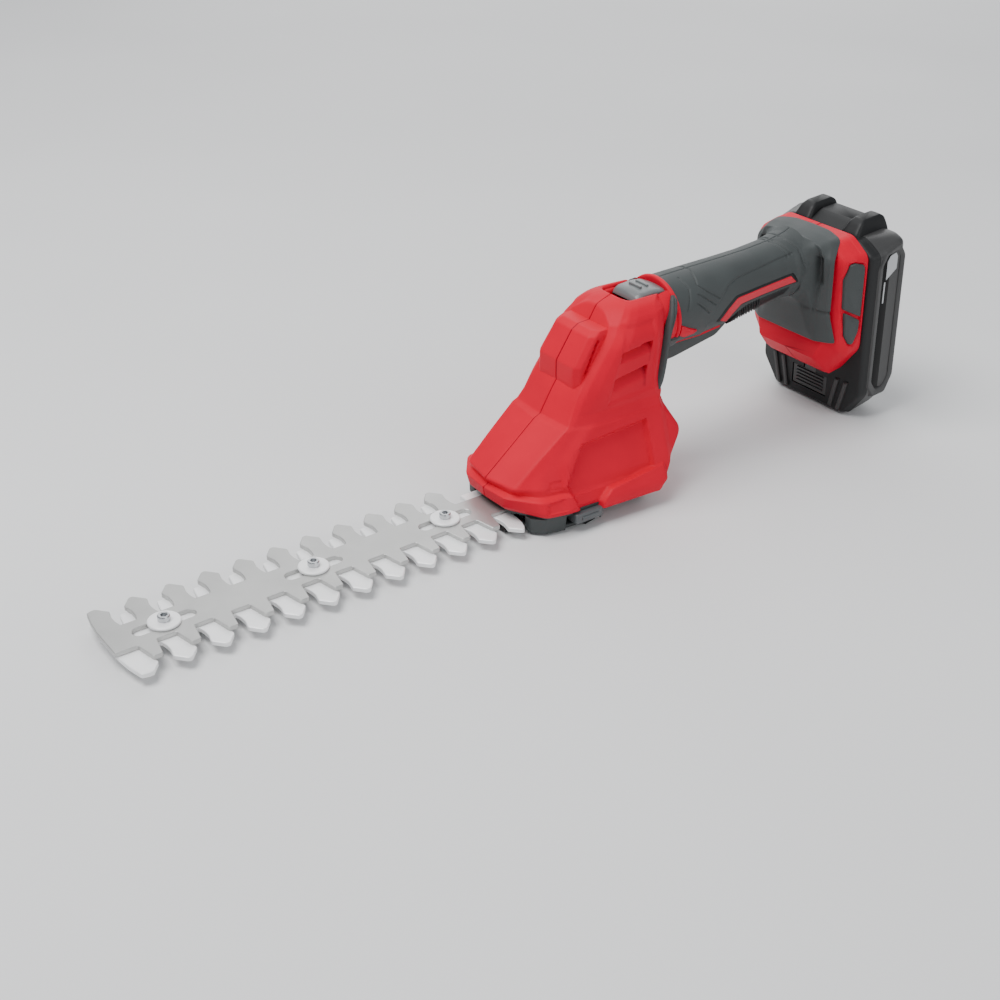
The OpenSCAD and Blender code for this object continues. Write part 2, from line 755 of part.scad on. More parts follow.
module base_plate() {
    outline = head_outline(head_ring_shares[0][1], base_inset);
    color(black) difference() {
        union() {
            translate([0, 0, base_height - flange_t]) linear_extrude(flange_t) polygon(outline);
            intersection() {
                linear_extrude(base_height) polygon(outline);
                block(-2 * nose_reach, front_block_end, head_width, -over, base_height + over);
            }
            block(front_block_end - over, base_tail, base_tail_w, 0, base_height);
        }
        block(-2 * nose_reach, channel_step, channel_front_w, base_floor, base_height + over);
        block(channel_step - over, channel_end, channel_w, base_floor, base_height + over);
        both_sides() {
            translate([release_x - free_gap, release_in - release_travel - over / 2, release_z - free_gap])
                cube([release_l + 2 * free_gap, head_width, release_h + 2 * free_gap]);
            translate([release_x + release_l / 2, 0, release_z + release_h / 2])
                rod_y(release_back, release_in, spring_r + wire_r + free_gap);
            for (p = base_bolts) translate([p[0], p[1], 0])
                cylinder(h = base_height + over, r = screw_r + fit_gap);
        }
    }
}

module base_screws() {
    color(steel) both_sides() for (p = base_bolts)
        translate([p[0], p[1], base_height - flange_t]) rotate([180, 0, 0])
            screw(flange_t + base_boss_h - 2 * over);
}

module housing_screw(b) {
    translate([b[0], b[2] - screw_sink, b[1]]) rotate([-90, 0, 0]) screw(screw_reach_share * b[2]);
}

module housing_screws() {
    color(steel) {
        for (b = head_bosses) housing_screw(b);
        in_grip() for (b = grip_bosses) housing_screw(b);
    }
}

module at_carrier_screws() {
    both_sides() translate([carrier_screw_at[0], carrier_screw_at[1], 0]) children();
}

module blade_carrier() {
    color(black) difference() {
        block(tail_start + blade_t, tail_end, tail_w, base_floor, blade_z);
        at_carrier_screws() cylinder(h = blade_z + over, r = screw_r + fit_gap);
    }
}

module carrier_screws() {
    color(steel) at_carrier_screws() translate([0, 0, blade_z + blade_t])
        screw(blade_t + carrier_t - 2 * free_gap);
}

module at_bolts() {
    for (s = bolt_shares) translate([tip_x + s * blade_l, 0, 0]) children();
}

module lower_blade() {
    outline = concat(long_edge(tip_tooth_shares, tip_x, tooth_count - 1, -1),
        tooth_row(heel_tooth_shares, heel_x, 1, -1),
        [[tail_end, -tail_w / 2], [tail_end, tail_w / 2], [tail_start, tail_w / 2],
            [tail_start, spine_width / 2]],
        reversed(short_edge(tip_tooth_shares, tip_x, tooth_count - 2, 1)));
    color(bright) difference() {
        translate([0, 0, blade_z]) linear_extrude(blade_t) polygon(outline);
        at_bolts() translate([0, 0, blade_z - over]) cylinder(h = blade_t + 2 * over, r = bolt_r + fit_gap);
        at_carrier_screws() cylinder(h = blade_z + blade_t + over, r = screw_r + fit_gap);
    }
}

module upper_blade() {
    first = tip_x + upper_shift_share * tooth_pitch;
    outline = concat(short_edge(upper_tip_shares, first, tooth_count - 1, -1),
        [[-yoke_half_l, -spine_width / 2], [-yoke_half_l, -yoke_w / 2], [yoke_half_l, -yoke_w / 2],
            [yoke_half_l, yoke_w / 2], [-yoke_half_l, yoke_w / 2], [-yoke_half_l, spine_width / 2]],
        reversed(long_edge(upper_tip_shares, first, tooth_count - 1, 1)));
    color(steel) difference() {
        translate([0, 0, upper_z]) linear_extrude(blade_t) polygon(outline);
        at_bolts() translate([0, 0, upper_z - over]) {
            block(-slot_l / 2 + slot_w / 2, slot_l / 2 - slot_w / 2, slot_w, 0, blade_t + 2 * over);
            for (s = [-1, 1]) translate([s * (slot_l - slot_w) / 2, 0, 0])
                cylinder(h = blade_t + 2 * over, r = slot_w / 2);
        }
        block(-yoke_slot_half, yoke_slot_half, yoke_slot_w, upper_z - over, upper_z + blade_t + over);
    }
}

module blade_spacers() {
    color(steel) at_bolts() translate([0, 0, blade_z + blade_t]) difference() {
        cylinder(h = blade_t + 2 * slide_gap, r = spacer_r);
        translate([0, 0, -over]) cylinder(h = blade_t + 2 * over, r = bolt_r + fit_gap);
    }
}

module blade_washers() {
    color(bright) at_bolts() translate([0, 0, washer_z]) difference() {
        cylinder(h = washer_t, r = washer_d / 2);
        translate([0, 0, -over]) cylinder(h = washer_t + 2 * over, r = bolt_r + fit_gap);
    }
}

module blade_screws() {
    color(steel) at_bolts() difference() {
        union() {
            translate([0, 0, blade_z]) cylinder(h = washer_z + washer_t - blade_z, r = bolt_r);
            translate([0, 0, washer_z + washer_t]) cylinder(h = bolt_head_h, r = bolt_head_r);
        }
        translate([0, 0, washer_z + washer_t + bolt_head_h / 2])
            cylinder(h = bolt_head_h, r = socket_r, $fn = 6);
    }
}

module gearbox_plate() {
    color(grey) difference() {
        union() {
            translate([0, 0, plate_z]) cylinder(h = plate_t, r = plate_nose_r);
            block(0, plate_end, plate_w, plate_z, plate_z + plate_t);
        }
        translate([0, 0, plate_z - over]) cylinder(h = plate_t + 2 * over, r = shaft_r + fit_gap);
        translate([motor_x, 0, plate_z - over]) cylinder(h = plate_t + 2 * over, r = pinion_hole_r);
        for (x = plate_screw_x) both_sides() translate([x, plate_screw_y, plate_z - over])
            cylinder(h = plate_t + 2 * over, r = screw_r + fit_gap);
        both_sides() translate([motor_x, motor_screw_y, plate_z - over])
            cylinder(h = plate_t + 2 * over, r = screw_r + fit_gap);
    }
}

module plate_screws() {
    color(steel) both_sides() for (x = plate_screw_x)
        translate([x, plate_screw_y, plate_z + plate_t]) screw(plate_t + ledge_h - free_gap);
}

module gear_shaft() {
    color(steel) translate([0, 0, gear_z - shaft_tail])
        cylinder(h = plate_z + plate_t - gear_z + shaft_tail, r = shaft_r);
}

module gear_clip() {
    color(steel) translate([0, 0, gear_z - clip_t - free_gap]) difference() {
        cylinder(h = clip_t, r = clip_r);
        translate([0, 0, -over]) cylinder(h = clip_t + 2 * over, r = shaft_r + fit_gap / 2);
    }
}

module gear_bush() {
    color(bronze) translate([0, 0, gear_z]) difference() {
        cylinder(h = gear_t + gear_gap - free_gap, r = bush_r);
        translate([0, 0, -over]) cylinder(h = gear_t + gear_gap + over, r = shaft_r + fit_gap);
    }
}

module drive_gear() {
    color(steel) difference() {
        translate([0, 0, gear_z]) linear_extrude(gear_t) polygon(gear_outline(gear_teeth));
        translate([0, 0, gear_z - over]) cylinder(h = gear_t + 2 * over, r = bush_r + fit_gap / 2);
        translate([0, -crank_e, gear_z - over]) cylinder(h = gear_t + 2 * over, r = pin_r + fit_gap / 2);
        translate([0, 0, gear_z + gear_t - web_cut]) difference() {
            cylinder(h = web_cut + over, r = gear_r - web_cut);
            translate([0, 0, -over]) cylinder(h = web_cut + 3 * over, r = web_r);
        }
    }
}

module crank_pin() {
    low = upper_z - slide_gap - pin_head_h - web_cut / 4;
    color(steel) translate([0, -crank_e, low]) {
        cylinder(h = pin_head_h, r = pin_head_r);
        cylinder(h = gear_z + gear_t - web_cut - low, r = pin_r);
    }
}

module crank_roller() {
    low = upper_z - slide_gap - web_cut / 4;
    color(bronze) translate([0, -crank_e, low]) difference() {
        cylinder(h = 2 * blade_t, r = roller_r);
        translate([0, 0, -over]) cylinder(h = 2 * blade_t + 2 * over, r = pin_r + fit_gap / 2);
    }
}

module motor_can() {
    color(steel) translate([motor_x, 0, motor_z]) difference() {
        cylinder(h = motor_l, r = motor_d / 2);
        translate([0, 0, can_t]) cylinder(h = motor_l, r = motor_d / 2 - can_t);
        translate([0, 0, -over]) cylinder(h = can_t + 2 * over, r = bearing_r + fit_gap);
        both_sides() translate([0, motor_screw_y, -over])
            cylinder(h = can_t + 2 * over, r = screw_r + fit_gap);
    }
}

module motor_magnets() {
    magnet_w = 2 * magnet_side_share * motor_d;
    color(charcoal) translate([motor_x, 0, motor_z + rotor_clear]) intersection() {
        difference() {
            cylinder(h = motor_l - 2 * rotor_clear, r = motor_d / 2 - can_t - fit_gap / 2);
            translate([0, 0, -over]) cylinder(h = motor_l, r = magnet_in_r);
        }
        union() {
            translate([magnet_in_r / 2, -magnet_w / 2, 0]) cube([magnet_w, magnet_w, motor_l]);
            translate([-magnet_in_r / 2 - magnet_w, -magnet_w / 2, 0]) cube([magnet_w, magnet_w, motor_l]);
        }
    }
}

module motor_cap() {
    color(black) translate([motor_x, 0, motor_top]) difference() {
        union() {
            cylinder(h = cap_flange_t, r = motor_d / 2);
            cylinder(h = cap_h, r = cap_r);
        }
        translate([0, 0, -over]) cylinder(h = bearing_t + over, r = bearing_r + fit_gap);
    }
}

module motor_bearings() {
    color(bronze) for (z = [motor_z, motor_top]) translate([motor_x, 0, z]) difference() {
        cylinder(h = bearing_t, r = bearing_r);
        translate([0, 0, -over]) cylinder(h = bearing_t + 2 * over, r = rotor_shaft_r + fit_gap);
    }
}

module motor_screws() {
    color(steel) both_sides() translate([motor_x, motor_screw_y, plate_z]) rotate([180, 0, 0])
        screw(plate_t + can_t + free_gap);
}

module motor_shaft() {
    color(steel) translate([motor_x, 0, gear_z - shaft_tail])
        cylinder(h = motor_top + bearing_t - gear_z + shaft_tail, r = rotor_shaft_r);
}

module rotor_core() {
    color(bronze) translate([motor_x, 0, motor_z + rotor_clear]) difference() {
        cylinder(h = motor_l - 2 * rotor_clear, r = rotor_r);
        translate([0, 0, -over]) cylinder(h = motor_l, r = rotor_shaft_r + fit_gap / 2);
    }
}

module motor_pinion() {
    color(steel) translate([motor_x, 0, gear_z]) difference() {
        linear_extrude(gear_t) polygon(gear_outline(pinion_teeth));
        translate([0, 0, -over]) cylinder(h = gear_t + 2 * over, r = rotor_shaft_r + fit_gap / 2);
    }
}

module lock_slider() {
    stem_x = slider_x + slider_foot_l / 2;
    foot_top = slider_floor - slider_floor_t - free_gap;
    color(grey) {
        block(slider_x, slider_x + slider_l, slider_w, slider_floor + slide_gap, slider_top);
        block(stem_x, stem_x + stem_l, stem_w, foot_top - slider_foot_t, slider_floor + 2 * slide_gap);
        block(slider_x + slider_foot_l / 4, slider_x + slider_foot_l / 4 + slider_foot_l, slider_foot_w,
            foot_top - slider_foot_t, foot_top);
        for (k = [1, 2])
            translate([slider_x + k * slider_l / 4, -slider_grip_w / 2, slider_top - slide_gap])
                cube([slider_grip_l, slider_grip_w, slider_grip_h]);
    }
}

module slider_spring() {
    from = head_bosses[2][0] + boss_r + fit_gap;
    to = slider_x + slider_foot_l / 4 - fit_gap;
    color(bright) translate([from, 0, slider_spring_z]) rotate([0, 90, 0]) coil(6, spring_r, to - from);
}

module trigger() {
    outline = [for (s = trigger_shares) trigger_pivot - [s[0] * trigger_reach, s[1] * trigger_drop]];
    color(black) in_grip() difference() {
        union() {
            side_prism(outline, -trigger_w / 2, trigger_w / 2);
            translate([trigger_pivot[0], 0, trigger_pivot[1]])
                rod_y(-trigger_w / 2, trigger_w / 2, trigger_boss_r);
        }
        translate([trigger_pivot[0], 0, trigger_pivot[1]]) {
            rod_y(-trigger_w, trigger_w, trigger_pin_r + fit_gap);
            rod_y(-spring_slot_w / 2, spring_slot_w / 2, spring_slot_r);
        }
    }
}

module trigger_pin() {
    color(steel) in_grip() translate([trigger_pivot[0], 0, trigger_pivot[1]])
        rod_y(-trigger_pin_l / 2, trigger_pin_l / 2, trigger_pin_r);
}

module trigger_spring() {
    length = spring_slot_w - 2 * coil_gap;
    color(bright) in_grip() translate([trigger_pivot[0], length / 2, trigger_pivot[1]]) rotate([90, 0, 0])
        coil(4, trigger_pin_r + wire_r + coil_gap, length);
}

module switch_body() {
    color(black) in_grip() difference() {
        translate([switch_at[0], -switch_size[1] / 2, switch_at[2]]) cube(switch_size);
        translate([plunger_u, 0, switch_at[2] - over]) cylinder(h = plunger_hole, r = plunger_r + fit_gap);
    }
}

module switch_plunger() {
    color(red) in_grip() translate([plunger_u, 0, -plunger_l]) cylinder(h = plunger_l, r = plunger_r);
}

module circuit_board() {
    color(green) in_grip() translate([grip_length + wall + slide_gap, -board_size[1] / 2, board_low])
        cube(board_size);
}

module wiring() {
    color(red) {
        in_grip() for (s = [-1, 1]) {
            translate([0, s * lead_y, lead_w])
                rod_x(switch_at[0] + switch_size[0], grip_length + wall, lead_r);
            translate([0, s * lead_y, rail_top + block_size[2] / 2])
                rod_x(grip_length + wall + board_size[0] + slide_gap, foot_back - rail_depth, lead_r);
        }
        for (s = [-1, 1]) rod_between(
            [motor_lead_end[0], s * motor_lead_end[1], motor_top + cap_h + lead_r + slide_gap],
            grip_point([switch_at[0] - fit_gap, s * lead_y, rib_low]), lead_r);
    }
}

module terminal_places(gap) {
    middle_u = foot_back - rail_depth + block_size[0] / 2;
    middle_w = rail_top + block_size[2] / 2 - terminal_size[2] / 2;
    for (y = blade_places) translate([middle_u, y, middle_w])
            cube(terminal_size + [2 * gap, 2 * gap, 2 * gap], center = true);
}

module terminal_block() {
    color(black) in_grip() difference() {
        block(foot_back - rail_depth, foot_back - rail_depth + block_size[0] - slide_gap,
            block_size[1] - 2 * slide_gap, rail_top, rail_top + block_size[2] - slide_gap);
        terminal_places(0);
    }
}

module terminal_blades() {
    color(bronze) in_grip() terminal_places(0);
}

// Button in the side of the base plate, on the side of positive y
module release_button() {
    translate([release_x, release_in, release_z]) cube([release_l, release_out - release_in, release_h]);
    translate([release_x + release_l / 4, release_out - slide_gap, release_z + release_h / 3])
        cube([release_l / 2, slider_grip_h, release_h / 3]);
}

module release_left() {
    color(grey) mirror([0, 1, 0]) release_button();
}

module release_right() {
    color(grey) release_button();
}

module release_springs() {
    color(bright) both_sides()
        translate([release_x + release_l / 2, release_back + fit_gap, release_z + release_h / 2])
            rotate([-90, 0, 0]) coil(4, spring_r, release_in - release_back - 2 * fit_gap);
}

// Room for the latch and its button in the pack's front
module latch_room() {
    block(foot_back - rail_depth, pack_x + latch_recess + latch_t + latch_travel + latch_gap,
        latch_w + 2 * latch_gap, button_low - latch_gap, latch_high + latch_gap);
    block(pack_x - over, pack_x + latch_recess + latch_t + latch_travel + latch_gap,
        button_w + 2 * latch_gap, button_low - latch_gap, button_high + latch_gap);
}

module pack_shell() {
    difference() {
        pack_form(0);
        pack_form(pack_wall);
    }
}

module pack_tongue() {
    front = foot_back - rail_depth + tongue_gap;
    top = rail_top - 2 * tongue_gap;
    block(front, foot_back - rail_lip - tongue_gap, rail_w - 2 * tongue_gap, top - tongue_l, top);
    block(front, pack_x + pack_wall / 2, neck_w - 2 * tongue_gap, top - tongue_l, top);
}

module pack_horns() {
    both_sides() translate([pack_x + horn_front, horn_in, pack_rise - 2 * pack_wall])
        cube([horn_l, horn_w, horn_h + 2 * pack_wall]);
}

module label_places(gap) {
    long = label_l_share * pack_depth + 2 * gap;
    high = label_h_share * pack_h + 2 * gap;
    both_sides() translate([pack_x + label_at_share * pack_depth - long / 2, pack_width / 2 - plate_in,
        pack_low + label_at_share * pack_h - high / 2]) cube([long, plate_in + plate_out, high]);
}

module pack_front() {
    color(black) in_grip() difference() {
        union() {
            intersection() {
                pack_shell();
                block(pack_x - over, pack_seam, pack_width, pack_low - over, pack_rise + over);
            }
            pack_tongue();
            intersection() {
                pack_horns();
                block(pack_x, pack_seam, pack_width, pack_low, pack_rise + horn_h);
            }
        }
        latch_room();
        terminal_places(2 * free_gap);
        label_places(fit_gap);
    }
}

module pack_rear() {
    color(charcoal) in_grip() difference() {
        union() {
            intersection() {
                pack_shell();
                block(pack_seam, pack_x + pack_depth + over, pack_width, pack_low - over, pack_rise + over);
            }
            intersection() {
                pack_horns();
                block(pack_seam, pack_x + pack_depth, pack_width, pack_low, pack_rise + horn_h);
            }
        }
        label_places(fit_gap);
        cells(free_gap);
    }
}

module pack_plates() {
    color(black) in_grip() label_places(0);
}

module cells(gap) {
    for (i = [0:cell_count - 1]) translate([cell_x, 0, cell_top - i * cell_step])
        rod_y(-cell_l / 2 - gap, cell_l / 2 + gap, cell_d / 2 + gap / 4);
}

module pack_cells() {
    color(blue) in_grip() cells(0);
}

module cell_straps() {
    color(steel) in_grip() both_sides() for (i = [0:cell_count - 2])
        translate([cell_x - strap_w / 2, cell_l / 2, cell_top - (i + 1) * cell_step + strap_w / 4])
            cube([strap_w, strap_t, cell_step - strap_w / 2]);
}

module pack_latch() {
    back = pack_x + latch_recess + latch_t;
    color(charcoal) in_grip() {
        block(foot_back - rail_depth + tongue_gap, back, latch_w, latch_high - latch_tooth_h, latch_high);
        block(back - latch_t, back, latch_w, button_low, latch_high);
        block(back - latch_t, back, button_w, button_low, button_high);
    }
}

module latch_spring() {
    from = pack_x + latch_recess + latch_t + fit_gap;
    to = cell_x - cell_d / 2 - fit_gap;
    color(bright) in_grip() translate([from, 0, cell_top - (cell_count - 1) * cell_step]) rotate([0, 90, 0])
        coil(2, 2 * spring_r, to - from);
}

housing_left();
housing_right();
grip_cover_left();
grip_cover_right();
rear_strips();
foot_pads();
base_plate();
base_screws();
housing_screws();
blade_carrier();
carrier_screws();
lower_blade();
upper_blade();
blade_spacers();
blade_washers();
blade_screws();
gearbox_plate();
plate_screws();
gear_shaft();
gear_clip();
gear_bush();
drive_gear();
crank_pin();
crank_roller();
motor_can();
motor_magnets();
motor_cap();
motor_bearings();
motor_screws();
motor_shaft();
rotor_core();
motor_pinion();
lock_slider();
slider_spring();
trigger();
trigger_pin();
trigger_spring();
switch_body();
switch_plunger();
circuit_board();
wiring();
terminal_block();
terminal_blades();
release_left();
release_right();
release_springs();
pack_front();
pack_rear();
pack_plates();
pack_cells();
cell_straps();
pack_latch();
latch_spring();
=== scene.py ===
import functools
import math

import bpy
import numpy as np
from mathutils import Matrix, Vector
from mathutils.geometry import tessellate_polygon


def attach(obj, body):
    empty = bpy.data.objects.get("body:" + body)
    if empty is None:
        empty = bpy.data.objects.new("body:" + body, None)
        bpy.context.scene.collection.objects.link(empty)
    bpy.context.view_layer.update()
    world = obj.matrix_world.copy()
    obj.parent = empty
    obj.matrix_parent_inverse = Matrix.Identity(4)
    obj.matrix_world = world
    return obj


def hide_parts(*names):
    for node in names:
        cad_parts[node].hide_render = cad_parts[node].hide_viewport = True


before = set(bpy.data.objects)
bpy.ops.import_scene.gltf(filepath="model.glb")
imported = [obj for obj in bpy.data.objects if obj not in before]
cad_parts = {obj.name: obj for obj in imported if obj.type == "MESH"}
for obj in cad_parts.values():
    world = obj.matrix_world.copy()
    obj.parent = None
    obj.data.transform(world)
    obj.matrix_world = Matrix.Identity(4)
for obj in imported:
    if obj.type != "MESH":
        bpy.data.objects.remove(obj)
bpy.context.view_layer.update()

bl_info = {
    "name": "Cordless hedge shears",
    "version": (1, 0, 0),
    "blender": (4, 5, 0),
    "location": "View3D > Sidebar > Shears",
    "description": "Dresses the packed solids of cordless hedge shears with moulded skins and finishes",
    "category": "Object",
}

MM = 0.001
GRIP_X, GRIP_Z, GRIP_TILT = 64.0, 83.0, math.radians(4)


# Shape tools

ENDLESS, TINY = 1e9, 1e-9
SHARP_ARM, ARM_SHARE = 0.02, 0.45


def corner_weights(lengths, radius, step, closed=False):
    """Weights that carry a line of control corners into a fine rounded line.

    Each corner becomes a parabola whose arms run the corner's radius along both edges, and the
    straight rests are cut into equal steps. Row i holds the shares of the control corners in point i.
    """
    edges = np.asarray(lengths, float)
    count = len(edges) if closed else len(edges) + 1
    before = np.roll(edges, 1) if closed else np.concatenate([[ENDLESS], edges])
    after = edges if closed else np.concatenate([edges, [ENDLESS]])
    arms = np.minimum(np.broadcast_to(np.asarray(radius, float), count), ARM_SHARE * np.minimum(before, after))
    if not closed:
        arms[0] = arms[-1] = 0.0
    unit = np.eye(count)
    rows = []
    for i in range(count):
        nxt = (i + 1) % count
        if arms[i] < SHARP_ARM:
            rows.append(unit[i:i + 1])
        else:
            t = np.linspace(0, 1, 3 if arms[i] < 0.6 else 5 if arms[i] < 2.5 else 8)[:, None]
            back, ahead = (1 - t) ** 2 * arms[i] / before[i], t ** 2 * arms[i] / after[i]
            rows.append(back * unit[i - 1] + ahead * unit[nxt] + (1 - back - ahead) * unit[i])
        if i < count - 1 or closed:
            start, stop = arms[i] / after[i], 1 - arms[nxt] / after[i]
            n = max(1, math.ceil((stop - start) * after[i] / step))
            s = (start + (stop - start) * np.arange(1, n) / n)[:, None]
            rows.append((1 - s) * unit[i] + s * unit[nxt])
    return np.concatenate(rows)


def net_surface(net, row_radius, column_radius, step, closed=False):
    """Surface over a net of control points: rounding weights down the rows times those across the columns."""
    net = np.asarray(net, float)
    down = np.linalg.norm(np.diff(net, axis=0), axis=2).mean(axis=1)
    ring = np.concatenate([net, net[:, :1]], axis=1) if closed else net
    across = np.linalg.norm(np.diff(ring, axis=1), axis=2).mean(axis=0)
    rows = corner_weights(down, row_radius, step)
    columns = corner_weights(across, column_radius, step, closed)
    return np.einsum("ik,jm,kmc->ijc", rows, columns, net)


def ring_line(points, radius, step):
    """Closed outline with rounded corners, from its corner points."""
    points = np.asarray(points, float)
    lengths = np.linalg.norm(np.roll(points, -1, axis=0) - points, axis=1)
    return corner_weights(lengths, radius, step, True) @ points


def open_line(points, radius, step):
    """Open line with rounded corners, from its corner points."""
    points = np.asarray(points, float)
    return corner_weights(np.linalg.norm(np.diff(points, axis=0), axis=1), radius, step) @ points


def area_of(line):
    """Twice the signed area of a closed outline, positive when it runs counter-clockwise."""
    x, y = np.asarray(line, float).T
    return np.sum(x * np.roll(y, -1) - np.roll(x, -1) * y)


def drawn_in(line, d):
    """Closed counter-clockwise outline moved in by d: each corner goes along the mean of its edges' normals."""
    e = np.roll(line, -1, axis=0) - line
    n = np.stack([-e[:, 1], e[:, 0]], 1) / np.maximum(np.linalg.norm(e, axis=1, keepdims=True), TINY)
    m = n + np.roll(n, 1, axis=0)
    return line + m * d / np.maximum(np.sum(m * m, axis=1, keepdims=True) / 2, 0.5)


def even(line, count):
    """Closed outline cut into a number of equal steps."""
    closed = np.concatenate([line, line[:1]])
    along = np.append(0, np.cumsum(np.linalg.norm(np.diff(closed, axis=0), axis=1)))
    t = np.linspace(0, 1, count, endpoint=False) * along[-1]
    return np.stack([np.interp(t, along, closed[:, k]) for k in (0, 1)], 1)


def inside(corners, x, z):
    """Depth of points inside a convex outline: the least signed distance to its edges, positive inside."""
    c = np.asarray(corners, float)
    e = np.roll(c, -1, axis=0) - c
    n = np.sign(area_of(c)) * np.stack([-e[:, 1], e[:, 0]], 1) / np.linalg.norm(e, axis=1, keepdims=True)
    return np.min(n[:, 0] * (x[..., None] - c[:, 0]) + n[:, 1] * (z[..., None] - c[:, 1]), axis=-1)


def flat(line, z):
    """Outline of (x, y) points as a row of points at height z."""
    return np.column_stack([line, np.full(len(line), z)])


def upright(line, y):
    """Outline of (along, up) points as a row of points at y across."""
    return np.stack([line[:, 0], y + 0 * line[:, 0], line[:, 1]], 1)


def mirrored(surface):
    """The same surface on the other side of the middle plane."""
    return surface * np.array([1.0, -1.0, 1.0])


def both(surface):
    """A surface and its mirror image."""
    return surface, mirrored(surface)


def rings(rows):
    """Net of closed rings from rows of (place along, half ring of (across, up)): each half and its mirror image."""
    halves = [np.column_stack([np.broadcast_to(u, len(half)), half]) for u, half in rows]
    return np.array([np.concatenate([mirrored(half), half[::-1]]) for half in halves])


def to_part(p):
    """Points of the grip's tilted frame (along, across, up) in the part's frame."""
    u, y, w = np.moveaxis(np.asarray(p, float), -1, 0)
    c, s = math.cos(GRIP_TILT), math.sin(GRIP_TILT)
    return np.stack([GRIP_X + u * c - w * s, y, GRIP_Z + u * s + w * c], -1)


def outward(surface):
    """Unit normals of a grid, from its two central differences, turned away from the middle plane."""
    n = np.cross(np.gradient(surface, axis=1), np.gradient(surface, axis=0))
    n = n / np.maximum(np.linalg.norm(n, axis=2, keepdims=True), TINY)
    return n * np.sign(np.sum(n[..., 1] * surface[..., 1]))


def smooth(x):
    """Smooth step of x from 0 to 1."""
    x = np.clip(x, 0, 1)
    return x * x * (3 - 2 * x)


def from_ends(n):
    """Steps from each of n places in a row to the nearer end."""
    return np.minimum(np.arange(n), np.arange(n)[::-1])


def from_rim(rows, columns):
    """Steps from each place in a grid to its nearest side."""
    return np.minimum(from_ends(rows)[:, None], from_ends(columns))


def lathe(profile, centre, axis="z", turns=48):
    """Surface of revolution: profile points (radius, height) turned round an axis of the part."""
    profile = np.asarray(profile, float)
    a = np.linspace(0, 2 * math.pi, turns, endpoint=False)
    r, h = profile[:, :1], profile[:, 1:]
    ring = np.stack([r * np.cos(a), r * np.sin(a), h + 0 * a], -1)
    order = {"x": [2, 0, 1], "y": [0, 2, 1], "z": [0, 1, 2]}[axis]
    return ring[..., order] + np.asarray(centre, float)


def rounded_block(low, high, radius):
    """Block with rounded edges: an upright rounded outline drawn in at its bottom and top by quarter circles."""
    low, high = np.asarray(low, float), np.asarray(high, float)
    a = np.linspace(0, math.pi / 2, 5)
    inset = np.concatenate([radius * (1 - np.sin(a)), radius * (1 - np.sin(a[::-1]))])
    z = np.concatenate([low[2] + radius * (1 - np.cos(a)), high[2] - radius * (1 - np.cos(a[::-1]))])
    size = high - low
    shares = corner_weights([size[0], size[1], size[0], size[1]], 1.6 * radius, 500, True).T
    x = np.stack([low[0] + inset, high[0] - inset, high[0] - inset, low[0] + inset], 1) @ shares
    y = np.stack([low[1] + inset, low[1] + inset, high[1] - inset, high[1] - inset], 1) @ shares
    return np.stack([x, y, z[:, None] + 0 * x], -1)


def grid_faces(rows, columns):
    """Corner numbers of the quads of a grid closed across its columns, row by row."""
    i, j = np.arange(rows - 1)[:, None] * columns, np.arange(columns)[None, :]
    k = (j + 1) % columns
    return np.stack([i + j, i + k, i + columns + k, i + columns + j], -1).reshape(-1, 4)


